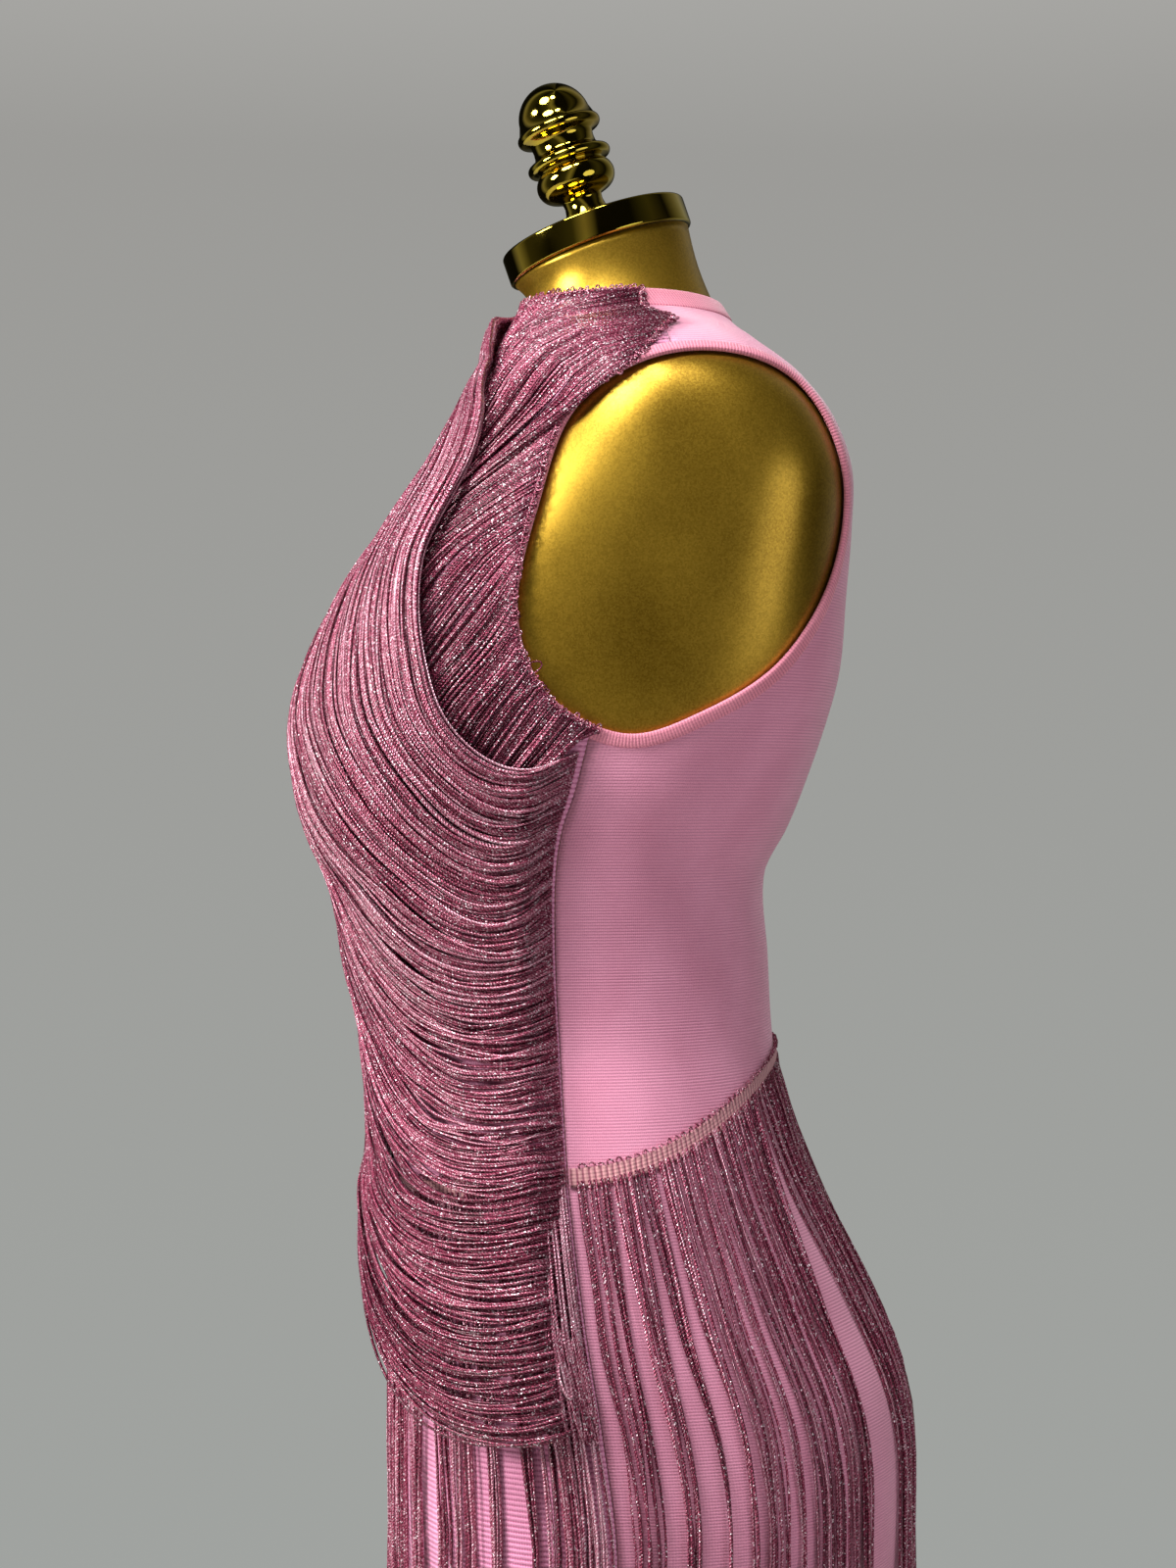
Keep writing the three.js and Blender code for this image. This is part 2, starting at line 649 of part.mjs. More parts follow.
add("front_panel", panel(0), KNIT_PINK);
add("back_panel", panel(180), KNIT_PINK);
add("neck_band", neckBand(), BINDING_PINK);
add("armhole_binding_left", armholeBinding(1), BINDING_PINK);
add("armhole_binding_right", armholeBinding(-1), BINDING_PINK);
add("drape_under", drape(UNDER), FRINGE_ROSE);
add("drape_over", drape(OVER), FRINGE_ROSE);
add("skirt_fringe_front", skirtFringe([0, 180], [1, 179], 24, -0.15), FRINGE_ROSE);
add("skirt_fringe_back", skirtFringe([180, 360], [181, 359], 28, 0.15), FRINGE_ROSE);
add("form_torso", formTorso(), GOLD_PAINT);
add("form_neck_cap", neckCap(), GOLD_CHROME, leaning(NECK.y, NECK.height));
add("form_finial", finial(), GOLD_CHROME, leaning(STEM.y, STEM.height));
add("stand_socket", standSocket(), STAND_METAL);
add("stand_pole", standPole(), STAND_METAL);
add("stand_base", standBase(), STAND_METAL);

export default group;
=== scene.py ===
"""The looks of a knit bodycon dress, draped and fringed with twisted yarn, on a gold dress form.

Sizes in the classes are in millimetres, and every mesh is made in metres.
The front of the dress faces -Y, the wearer's left side is +X, and the stand rests on the floor at the origin.
"""

import logging
import math
from dataclasses import dataclass
from enum import Enum

import bpy
import numpy as np
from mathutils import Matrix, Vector

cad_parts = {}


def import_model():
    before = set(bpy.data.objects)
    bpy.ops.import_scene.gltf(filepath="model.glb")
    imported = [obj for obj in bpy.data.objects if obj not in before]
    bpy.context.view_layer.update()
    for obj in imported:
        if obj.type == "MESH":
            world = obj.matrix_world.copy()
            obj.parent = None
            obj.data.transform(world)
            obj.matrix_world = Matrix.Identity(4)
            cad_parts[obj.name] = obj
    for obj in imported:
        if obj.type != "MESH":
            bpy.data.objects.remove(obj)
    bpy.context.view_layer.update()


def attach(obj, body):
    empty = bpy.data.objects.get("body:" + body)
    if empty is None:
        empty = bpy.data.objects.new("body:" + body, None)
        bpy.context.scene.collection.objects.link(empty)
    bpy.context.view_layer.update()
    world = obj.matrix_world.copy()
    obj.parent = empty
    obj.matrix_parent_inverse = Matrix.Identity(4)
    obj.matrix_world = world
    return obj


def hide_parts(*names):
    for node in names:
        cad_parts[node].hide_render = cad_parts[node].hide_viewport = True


LOG = logging.getLogger("dress")
MM = 0.001
UP = np.array([0.0, 0.0, 1.0])
YARN_SIZES = (0.85, 1.12)  # the thinnest and the thickest yarn beside the usual one
YARN_ROLL = 1.3  # radians by which a yarn's facets are turned from the last yarn's
YARN_SHIFT = 37.0  # millimetres by which a yarn's twist is shifted from the last yarn's

Piece = bpy.types.Object
Tree = bpy.types.NodeTree
Socket = bpy.types.NodeSocket
Material = bpy.types.Material
Array = np.ndarray


class Slot(Enum):
    """The record's material slots."""

    KNIT = "knit"
    RIB = "rib_binding"
    FRINGE = "fringe"
    PAINT = "gold_paint"
    CHROME = "gold_chrome"
    STAND = "stand_metal"


class Side(Enum):
    """The side of the dress on which something starts, as the sign of X."""

    LEFT = 1
    RIGHT = -1

    @property
    def mirror(self) -> Array:
        """What turns a point of the left side into one of this side."""
        return np.array([self.value, 1, 1])


class Half(Enum):
    """A half of the dress, by the turn at which it starts."""

    FRONT = 0
    BACK = 180


# Small helpers for numbers and meshes


def linear(colour: str) -> tuple[float, float, float, float]:
    """Turns an sRGB hex colour into linear light.

    Args:
        colour: six hex digits after a hash.

    Returns:
        Red, green, blue and an alpha of 1.
    """
    parts = [int(colour[i : i + 2], 16) / 255 for i in (1, 3, 5)]
    light = [p / 12.92 if p <= 0.04045 else ((p + 0.055) / 1.055) ** 2.4 for p in parts]
    return (*light, 1.0)


def smooth_step(value: Array, low: float, high: float) -> Array:
    """Rises smoothly from 0 at low to 1 at high.

    Args:
        value: the numbers to weigh.
        low: where the rise starts.
        high: where it ends.

    Returns:
        The weights, from 0 to 1.
    """
    share = np.clip((np.asarray(value, float) - low) / (high - low), 0, 1)
    return share * share * (3 - 2 * share)


def signed_power(value: Array, power: Array) -> Array:
    """Raises a number to a power and keeps its sign."""
    return np.sign(value) * np.abs(value) ** power


def unit(vectors: Array) -> Array:
    """Scales vectors to a length of 1."""
    return vectors / np.maximum(np.linalg.norm(vectors, axis=-1, keepdims=True), 1e-9)


def along_curve(points: Array, count: int, closed: bool) -> Array:
    """Lays evenly spaced points on a smooth curve through some stops.

    Args:
        points: the stops.
        count: how many points to return.
        closed: whether the curve returns to its first stop.

    Returns:
        The points. A closed curve's first point isn't repeated.
    """
    stops = np.asarray(points, float)
    total = len(stops)
    spans = total if closed else total - 1
    fine = []
    for i in range(spans):
        picks = [i - 1, i, i + 1, i + 2]
        a, b, c, d = (stops[k % total] if closed else stops[min(max(k, 0), total - 1)] for k in picks)
        f = np.linspace(0, 1, 24, endpoint=False)[:, None]
        bend = 2 * a - 5 * b + 4 * c - d
        twist = 3 * (b - c) + d - a
        fine.append(0.5 * (2 * b + (c - a) * f + bend * f**2 + twist * f**3))
    line = np.concatenate([*fine, stops[:1] if closed else stops[-1:]])
    lengths = run_lengths(line)
    wanted = np.linspace(0, lengths[-1], count, endpoint=not closed)
    return np.stack([np.interp(wanted, lengths, line[:, k]) for k in range(3)], axis=1)


def run_lengths(points: Array) -> Array:
    """Adds up the distances along a row of points, from its first one."""
    return np.concatenate([[0], np.cumsum(np.linalg.norm(np.diff(points, axis=0), axis=1))])


def make_object(name: str, points: Array, faces: list, corners: Array | None = None) -> Piece:
    """Makes a smooth-shaded mesh object.

    Args:
        name: the piece's name.
        points: corners in millimetres.
        faces: lists of corner numbers.
        corners: a texture place for each face corner, in metres.

    Returns:
        The object, in the scene.
    """
    mesh = bpy.data.meshes.new(name)
    mesh.from_pydata((np.asarray(points).reshape(-1, 3) * MM).tolist(), [], faces)
    if corners is not None:
        layer = mesh.uv_layers.new(name="cloth")
        layer.data.foreach_set("uv", np.asarray(corners, np.float32).ravel())
    mesh.shade_smooth()
    mesh.update()
    piece = bpy.data.objects.new(name, mesh)
    bpy.context.scene.collection.objects.link(piece)
    return piece


def make_grid(
    name: str,
    points: Array,
    places: Array,
    keep: Array | None = None,
    round_rows: bool = False,
    round_columns: bool = False,
) -> Piece:
    """Makes a surface from rows of points.

    Args:
        name: the piece's name.
        points: rows by columns of corners, in millimetres.
        places: rows by columns of texture places, in metres, with one more row or column where that way is round.
        keep: which of its squares are kept.
        round_rows: whether the last row joins the first.
        round_columns: whether the last column joins the first.

    Returns:
        The object.
    """
    rows, columns = points.shape[:2]
    index = np.arange(rows * columns).reshape(rows, columns)
    if round_rows:
        index = np.concatenate([index, index[:1]])
    if round_columns:
        index = np.concatenate([index, index[:, :1]], axis=1)
    squares = np.stack([index[:-1, :-1], index[:-1, 1:], index[1:, 1:], index[1:, :-1]], axis=-1)
    spots = np.stack([places[:-1, :-1], places[:-1, 1:], places[1:, 1:], places[1:, :-1]], axis=2)
    if keep is not None:
        squares, spots = squares[keep], spots[keep]
    return make_object(name, points, squares.reshape(-1, 4).tolist(), spots.reshape(-1, 2))


def thicken(piece: Piece, thickness: float) -> Piece:
    """Gives a surface an inner side and closed edges.

    Args:
        piece: an open surface whose normals point out.
        thickness: the wall, in millimetres, laid inwards.

    Returns:
        The same object.
    """
    wall = piece.modifiers.new("wall", "SOLIDIFY")
    wall.thickness = thickness * MM
    wall.offset = -1
    wall.use_even_offset = False
    graph = bpy.context.evaluated_depsgraph_get()
    solid = bpy.data.meshes.new_from_object(piece.evaluated_get(graph))
    piece.modifiers.clear()
    piece.data = solid
    solid.name = piece.name
    return piece


def make_lathe(name: str, profile: list, segments: int, lean: float, place: tuple) -> Piece:
    """Turns a profile about a leaning axis.

    Args:
        name: the piece's name.
        profile: pairs of radius and height, from the lower end of the axis upwards.
        segments: facets round the axis.
        lean: degrees by which the axis leans forwards.
        place: the axis's foot, as Y and Z.

    Returns:
        The object.
    """
    turns = np.radians(np.linspace(0, 360, segments, endpoint=False))
    outline = np.array(profile, float)
    radius, height = outline[:, :1], outline[:, 1:]
    across, depth = radius * np.cos(turns), radius * np.sin(turns)
    tall = np.repeat(height, segments, axis=1)
    tilt = math.radians(lean)
    y = depth * math.cos(tilt) - tall * math.sin(tilt) + place[0]
    z = depth * math.sin(tilt) + tall * math.cos(tilt) + place[1]
    lengths = run_lengths(outline)
    shares = np.linspace(0, 1, segments + 1)
    places = np.stack(np.broadcast_arrays(shares[None] * 0.3, lengths[:, None] * MM), axis=-1)
    return make_grid(name, np.stack([across, y, z], axis=-1), places, round_columns=True)


def arc(centre: float, height: float, radius: float, start: float, end: float, steps: int = 10) -> list:
    """Lays points of a bead's outline.

    Args:
        centre: the bead's distance from the axis.
        height: the bead's height.
        radius: its radius.
        start: the first angle above level, in degrees.
        end: the last angle.
        steps: how many chords it has.

    Returns:
        Pairs of radius and height.
    """
    angles = np.radians(np.linspace(start, end, steps + 1))
    return [(centre + radius * math.cos(a), height + radius * math.sin(a)) for a in angles]


def make_yarns(
    name: str,
    paths: Array,
    outward: Array,
    radii: Array,
    tones: Array,
    sides: int = 3,
) -> Piece:
    """Makes many yarns as one mesh, each a slim tube along its own path.

    Args:
        name: the piece's name.
        paths: yarns by points, in millimetres.
        outward: the cloth's outward direction at each of them.
        radii: the radius of each yarn.
        tones: how light each yarn is, from 0 to 1.
        sides: facets round a yarn.

    Returns:
        The object.
    """
    yarns, steps = paths.shape[:2]
    run = unit(np.gradient(paths, axis=1))
    side = unit(np.cross(run, outward))
    lift = np.cross(side, run)
    roll = np.arange(yarns)[:, None, None] * YARN_ROLL
    angles = (2 * np.pi * np.arange(sides) / sides)[None, None] + roll
    ring = np.cos(angles)[..., None] * side[:, :, None] + np.sin(angles)[..., None] * lift[:, :, None]
    points = paths[:, :, None] + ring * radii[:, None, None, None]
    index = np.arange(yarns * steps * sides).reshape(yarns, steps, sides)
    after = np.roll(index, -1, axis=2)
    squares = np.stack([index[:, :-1], index[:, 1:], after[:, 1:], after[:, :-1]], axis=-1)
    ends = np.concatenate([index[:, 0], index[:, -1, ::-1]])
    spans = np.linalg.norm(np.diff(paths, axis=1), axis=2)
    reach = np.concatenate([np.zeros((yarns, 1)), np.cumsum(spans, 1)], 1)
    reach = reach + YARN_SHIFT * np.arange(yarns)[:, None]
    low, high = reach[:, :-1, None], reach[:, 1:, None]
    near = (np.arange(sides) / sides)[None, None]
    far = near + 1 / sides
    corners = [np.broadcast_arrays(*pair) for pair in ((near, low), (near, high), (far, high), (far, low))]
    spots = np.stack([np.stack([u, v * MM], axis=-1) for u, v in corners], axis=3).reshape(-1, 2)
    spots = np.concatenate([spots, np.zeros((ends.size, 2))])
    piece = make_object(name, points, squares.reshape(-1, 4).tolist() + ends.tolist(), spots)
    tone = piece.data.attributes.new("tone", "FLOAT", "POINT")
    tone.data.foreach_set("value", np.repeat(tones, steps * sides).astype(np.float32))
    return piece


# The shape of the worn dress


@dataclass(frozen=True)
class Section:
    """One level section of the dress: two half ovals that meet at the side seams."""

    height: float
    half_width: float
    front: float
    back: float
    seam: float
    front_power: float
    back_power: float


SECTIONS = (
    Section(500, 150, -92, 122, 6, 2.2, 2.2),
    Section(620, 155, -98, 132, 5, 2.2, 2.2),
    Section(762, 163, -105, 145, 4, 2.2, 2.3),
    Section(848, 167, -107, 150, 3, 2.3, 2.4),
    Section(896, 165, -107, 146, -3, 2.3, 2.4),
    Section(944, 157, -107, 126, -11, 2.3, 2.3),
    Section(997, 142, -108, 100, -18, 2.3, 2.3),
    Section(1035, 128, -109, 87, -21, 2.3, 2.3),
    Section(1067, 119, -112, 83, -23, 2.3, 2.3),
    Section(1104, 119, -120, 81, -25, 2.3, 2.3),
    Section(1145, 126, -128, 79, -25, 2.4, 2.4),
    Section(1168, 131, -138, 90, -22, 2.5, 2.6),
    Section(1186, 136, -143, 97, -16, 2.6, 2.8),
    Section(1220, 144, -146, 108, -7, 2.6, 3.2),
    Section(1246, 148, -139, 114, 2, 2.5, 3.5),
    Section(1280, 153, -122, 116, 11, 2.4, 3.8),
    Section(1312, 156, -101, 118, 20, 2.3, 4.0),
    Section(1340, 156, -82, 118, 26, 2.2, 4.0),
    Section(1365, 152, -68, 110, 29, 2.1, 3.6),
    Section(1384, 143, -59, 97, 29, 2.1, 3.2),
    Section(1393, 133, -54, 89, 28, 2.1, 2.9),
    Section(1402, 115, -52, 81, 26, 2.1, 2.6),
    Section(1410, 93, -50, 75, 23, 2.1, 2.4),
    Section(1417, 73, -48, 69, 19, 2.1, 2.2),
    Section(1424, 58, -45, 63, 14, 2.1, 2.1),
    Section(1434, 52, -42, 57, 8, 2.0, 2.0),
)


class BodyShape:
    """The outside of the worn knit. Turn 0 is the left side seam, 90 the centre front and 270 the centre back."""

    def __init__(self, sections: tuple[Section, ...]) -> None:
        """Keeps the sections as columns.

        Args:
            sections: the level sections, hem to neck.
        """
        self.heights = np.array([s.height for s in sections], float)
        names = ("half_width", "front", "back", "seam", "front_power", "back_power")
        self.columns = {name: np.array([getattr(s, name) for s in sections], float) for name in names}

    def column(self, name: str, height: Array) -> Array:
        """Reads one size of the section at a height.

        Args:
            name: the size's name.
            height: the heights.

        Returns:
            The size at each of them.
        """
        levels, values = self.heights, self.columns[name]
        height = np.asarray(height, float)
        i = np.clip(np.searchsorted(levels, height, side="right") - 1, 0, len(levels) - 2)
        before, after = np.maximum(i - 1, 0), np.minimum(i + 2, len(levels) - 1)
        span = levels[i + 1] - levels[i]
        f = np.clip((height - levels[i]) / span, 0, 1)
        low = (values[i + 1] - values[before]) / (levels[i + 1] - levels[before]) * span
        high = (values[after] - values[i]) / (levels[after] - levels[i]) * span
        rise = values[i] * (2 * f**3 - 3 * f**2 + 1) + values[i + 1] * (3 * f**2 - 2 * f**3)
        return rise + low * (f**3 - 2 * f**2 + f) + high * (f**3 - f**2)

    def point(self, turn: Array, height: Array) -> Array:
        """Finds points on the outside of the knit.

        Args:
            turn: degrees round from the left side seam.
            height: heights above the floor.

        Returns:
            The points.
        """
        turn, height = np.broadcast_arrays(np.asarray(turn, float), np.asarray(height, float))
        across, forward = np.cos(np.radians(turn)), np.sin(np.radians(turn))
        is_front = forward > 0
        powers = np.where(is_front, self.column("front_power", height), self.column("back_power", height))
        seam = self.column("seam", height)
        depth = np.where(is_front, seam - self.column("front", height), self.column("back", height) - seam)
        x = self.column("half_width", height) * signed_power(across, 2 / powers)
        return np.stack([x, seam - depth * signed_power(forward, 2 / powers), height], axis=-1)

    def normal(self, turn: Array, height: Array) -> Array:
        """Finds the knit's outward direction.

        Args:
            turn: degrees round from the left side seam.
            height: heights above the floor.

        Returns:
            The directions.
        """
        turn, height = np.asarray(turn, float), np.asarray(height, float)
        around = self.point(turn + 2, height) - self.point(turn - 2, height)
        rise = self.point(turn, height + 3) - self.point(turn, height - 3)
        return unit(np.cross(rise, around))

    def offset(self, turn: Array, height: Array, out: Array) -> Array:
        """Finds points that stand out from the knit by so many millimetres."""
        return self.point(turn, height) + self.normal(turn, height) * np.asarray(out, float)[..., None]

    def turn_at_x(self, x: Array, height: Array) -> Array:
        """Finds the turn at which the front reaches a distance to the left.

        Args:
            x: the distance.
            height: the height of the section.

        Returns:
            The turn, in degrees.
        """
        share = np.clip(x / self.column("half_width", height), -1, 1)
        return np.degrees(np.arccos(signed_power(share, self.column("front_power", height) / 2)))

    def turn_at_y(self, y: Array, height: Array) -> Array:
        """Finds the turn at which the left side reaches a distance backwards.

        Args:
            y: the distance.
            height: the height of the section.

        Returns:
            The turn, in degrees.
        """
        y = np.asarray(y, float)
        seam = self.column("seam", height)
        is_front = y < seam
        depth = np.where(is_front, seam - self.column("front", height), self.column("back", height) - seam)
        power = np.where(is_front, self.column("front_power", height), self.column("back_power", height)) / 2
        turn = np.degrees(np.arcsin(np.clip(np.abs(seam - y) / depth, 0, 1) ** power))
        return np.where(is_front, turn, 360 - turn)


BODY = BodyShape(SECTIONS)


@dataclass(frozen=True)
class Stop:
    """A run of places on the knit, each with its outward direction and one along the skin."""

    here: Array
    normal: Array
    across: Array

    def beside(self, width: float | Array, out: float | Array) -> Array:
        """Finds points so far across the skin and so far out from it."""
        width, out = np.asarray(width, float)[..., None], np.asarray(out, float)[..., None]
        return self.here + self.across * width + self.normal * out

    def at(self, share: Array) -> "Stop":
        """Reads the run at shares of its length.

        Args:
            share: from 0 to 1.

        Returns:
            The places there.
        """
        reach = np.clip(share, 0, 1) * (len(self.here) - 1)
        i = np.minimum(reach.astype(int), len(self.here) - 2)
        f = (reach - i)[..., None]
        parts = (self.here, self.normal, self.across)
        here, normal, across = (a[i] + (a[i + 1] - a[i]) * f for a in parts)
        return Stop(here, unit(normal), unit(across))


@dataclass(frozen=True)
class Armhole:
    """The armhole's edge, seen from the side, from the shoulder tip round the back."""

    steps: int = 184
    points: tuple = (
        (34, 1388),
        (85, 1378),
        (109, 1334),
        (104, 1288),
        (78, 1246),
        (40, 1222),
        (6, 1213),
        (-28, 1231),
        (-42, 1268),
        (-33, 1316),
        (-14, 1364),
    )

    def stops(self) -> Stop:
        """Lays even places round the left armhole, each with the direction away from the hole."""
        outline = np.array([(0, y, z) for y, z in self.points], float)
        line = along_curve(outline, self.steps, closed=True)
        turns = BODY.turn_at_y(line[:, 1], line[:, 2])
        here = BODY.point(turns, line[:, 2])
        normal = BODY.normal(turns, line[:, 2])
        along = np.roll(here, -1, axis=0) - np.roll(here, 1, axis=0)
        return Stop(here, normal, unit(np.cross(normal, along)))

    def holds(self, y: Array, z: Array, grow: float) -> Array:
        """Says which points lie within the hole, seen from the side.

        Args:
            y: how far back the points are.
            z: their heights.
            grow: how much wider than its edge the hole is taken to be.

        Returns:
            True for a point that lies within.
        """
        edge = self.stops().beside(grow, 0)
        inside = np.zeros(y.shape, bool)
        for a, b in zip(edge, np.roll(edge, -1, axis=0)):
            crosses = (a[2] > z) != (b[2] > z)
            rise = b[2] - a[2]
            reach = a[1] + (z - a[2]) * (b[1] - a[1]) / (rise if abs(rise) > 1e-9 else 1e-9)
            inside ^= crosses & (y < reach)
        return inside


ARMHOLE = Armhole()


def root_line() -> Stop:
    """Lays the left drape's root line along the neckline, down the shoulder seam and the armhole's front."""
    edge = ARMHOLE.stops()
    quarter = ARMHOLE.steps // 46
    neck = BODY.point(np.array([80, 56, 32, 12, -7]), np.full(5, 1431.5))
    shoulder = BODY.point(np.array([-2, 0, -5, 0]), np.array([1424, 1417, 1409, 1402]))
    picks = (np.array([44, 41, 39, 37, 35, 32, 30, 28, 26]) * quarter).astype(int)
    line = along_curve(np.concatenate([neck, shoulder, edge.beside(1, 0)[picks]]), 61, closed=False)
    is_side = line[:, 0] > 0.7 * BODY.column("half_width", line[:, 2])
    turns = np.where(is_side, BODY.turn_at_y(line[:, 1], line[:, 2]), BODY.turn_at_x(line[:, 0], line[:, 2]))
    here = BODY.point(turns, line[:, 2])
    normal = BODY.normal(turns, line[:, 2])
    return Stop(here, normal, unit(np.cross(np.gradient(here, axis=0), normal)))


def tape_top(turn: Array) -> Array:
    """Finds the height of the heading tape's upper edge, which dips in front and rises to the back."""
    forward = np.sin(np.radians(turn))
    return 1014 + 46 * np.maximum(-forward, 0) ** 1.6 - 14 * np.maximum(forward, 0)


# Finishes


def add_node(
    tree: Tree,
    kind: str,
    settings: dict | None = None,
    inputs: dict | None = None,
    links: dict | None = None,
) -> bpy.types.Node:
    """Adds a node.

    Args:
        tree: the material's nodes.
        kind: the node's Blender name.
        settings: its own properties.
        inputs: fixed values for its sockets.
        links: the sockets that feed its sockets.

    Returns:
        The node.
    """
    node = tree.nodes.new(kind)
    for name, value in (settings or {}).items():
        setattr(node, name, value)
    for name, value in (inputs or {}).items():
        node.inputs[name].default_value = value
    for name, source in (links or {}).items():
        tree.links.new(source, node.inputs[name])
    return node


def add_ramp(tree: Tree, source: Socket, stops: list) -> Socket:
    """Adds a colour ramp.

    Args:
        tree: the material's nodes.
        source: what the ramp reads.
        stops: pairs of a place from 0 to 1 and an sRGB hex colour.

    Returns:
        The ramp's colour socket.
    """
    ramp = add_node(tree, "ShaderNodeValToRGB", links={"Fac": source})
    elements = ramp.color_ramp.elements
    while len(elements) < len(stops):
        elements.new(0.5)
    for element, (place, colour) in zip(elements, stops):
        element.position = place
        element.color = linear(colour)
    return ramp.outputs["Color"]


def start_material(name: str, surface: dict) -> tuple[Material, Tree, bpy.types.Node]:
    """Starts a material.

    Args:
        name: what the material is.
        surface: fixed values for the surface shader.

    Returns:
        The material, its nodes and its surface shader.
    """
    material = bpy.data.materials.new(name)
    material.use_nodes = True
    tree = material.node_tree
    shader = tree.nodes["Principled BSDF"]
    for socket, value in surface.items():
        shader.inputs[socket].default_value = value
    return material, tree, shader


def cloth_place(tree: Tree) -> Socket:
    """Gives the place on the cloth, in metres."""
    return add_node(tree, "ShaderNodeUVMap", {"uv_map": "cloth"}).outputs["UV"]


def solid_place(tree: Tree) -> Socket:
    """Gives the place in space, in metres."""
    return add_node(tree, "ShaderNodeTexCoord").outputs["Object"]


def add_noise(tree: Tree, place: Socket, scale: float, detail: float) -> Socket:
    """Adds soft noise, with so many lumps to a metre."""
    inputs = {"Scale": scale, "Detail": detail}
    return add_node(tree, "ShaderNodeTexNoise", None, inputs, {"Vector": place}).outputs["Fac"]


def add_cells(tree: Tree, scale: float) -> bpy.types.bpy_prop_collection:
    """Adds small cells, so many to a metre, and gives three chances for each as Red, Green and Blue."""
    cells = add_node(tree, "ShaderNodeTexVoronoi", None, {"Scale": scale}, {"Vector": solid_place(tree)})
    return add_node(tree, "ShaderNodeSeparateColor", None, None, {"Color": cells.outputs["Color"]}).outputs


def add_waves(tree: Tree, place: Socket, axis: str, pitch: float, shape: dict) -> Socket:
    """Adds even waves. At a scale of 1 the node's bands repeat every 2 pi / 20.

    Args:
        tree: the material's nodes.
        place: where the waves are read.
        axis: the axis along which they follow each other.
        pitch: from one wave to the next, in millimetres.
        shape: the node's other fixed values.

    Returns:
        The waves' socket.
    """
    inputs = {"Scale": 2 * math.pi / 20 / (pitch * MM), **shape}
    return add_node(tree, "ShaderNodeTexWave", {"bands_direction": axis}, inputs, {"Vector": place}).outputs["Fac"]


def add_share(tree: Tree, first: Socket, share: float, second: Socket) -> Socket:
    """Adds a share of the first value to the second."""
    settings = {"operation": "MULTIPLY_ADD"}
    return add_node(tree, "ShaderNodeMath", settings, {1: share}, {0: first, 2: second}).outputs[0]


def add_range(tree: Tree, value: Socket, low: float, high: float, start: float = 0, end: float = 1) -> Socket:
    """Turns a value that runs from start to end into one that runs from low to high."""
    inputs = {"From Min": start, "From Max": end, "To Min": low, "To Max": high}
    return add_node(tree, "ShaderNodeMapRange", None, inputs, {"Value": value}).outputs["Result"]


def add_mix(tree: Tree, links: dict, inputs: dict | None = None, blend: str = "MIX") -> Socket:
    """Adds a mix of colours: socket 0 is the share, 6 the lower colour and 7 the upper one."""
    settings = {"data_type": "RGBA", "blend_type": blend}
    return add_node(tree, "ShaderNodeMix", settings, inputs, links).outputs[2]


def add_relief(tree: Tree, shader: bpy.types.Node, height: Socket, strength: float, relief: float) -> None:
    """Bumps the surface by a height, at most so many millimetres."""
    inputs = {"Strength": strength, "Distance": relief * MM}
    bump = add_node(tree, "ShaderNodeBump", None, inputs, {"Height": height})
    tree.links.new(bump.outputs["Normal"], shader.inputs["Normal"])


@dataclass(frozen=True)
class BandageKnit:
    """Viscose and elastane bandage knit: matt, soft, in level ribs made of fine columns of stitches.

    The ribs catch the light along their crests, which are painted lighter as a painted highlight, and their hollows
    are painted darker as painted shade; soft patches of painted shade lie over the knit, and the fibres give a
    faint bloom at the edges.
    """

    name: str
    lit_tops: str
    shaded_valleys: str
    rib_pitch: float
    relief: float
    stitch_pitch: float = 1.3
    stitch_share: float = 0.28  # how high the stitches stand beside the ribs

    def build(self) -> Material:
        """Makes the material."""
        surface = {"Roughness": 0.82, "Sheen Weight": 0.35, "Sheen Roughness": 0.4, "Specular IOR Level": 0.25}
        material, tree, shader = start_material(self.name, surface)
        place = cloth_place(tree)
        rib_shape = {"Distortion": 0.25, "Detail": 1, "Detail Scale": 3}
        stitch_shape = {"Distortion": 0.6, "Detail": 1, "Detail Scale": 6}
        ribs = add_waves(tree, place, "Y", self.rib_pitch, rib_shape)
        columns = add_waves(tree, place, "X", self.stitch_pitch, stitch_shape)
        height = add_share(tree, columns, self.stitch_share, ribs)
        # painted highlight on the rib crests and painted shade in the rib hollows
        tint = add_ramp(tree, height, [(0.05, self.shaded_valleys), (0.75, self.lit_tops)])
        # soft patches of painted shade darken the knit a little
        painted_shade_patches = add_ramp(tree, add_noise(tree, place, 26, 3), [(0.3, "#F3ECEE"), (0.7, "#FFFFFF")])
        fuzz = add_ramp(tree, add_noise(tree, place, 1500, 2), [(0.3, "#EDE3E6"), (0.6, "#FFFFFF")])
        shaded = add_mix(tree, {6: tint, 7: painted_shade_patches}, {0: 1.0}, "MULTIPLY")
        colour = add_mix(tree, {6: shaded, 7: fuzz}, {0: 1.0}, "MULTIPLY")
        tree.links.new(colour, shader.inputs["Base Color"])
        add_relief(tree, shader, height, 0.75, self.relief)
        return material


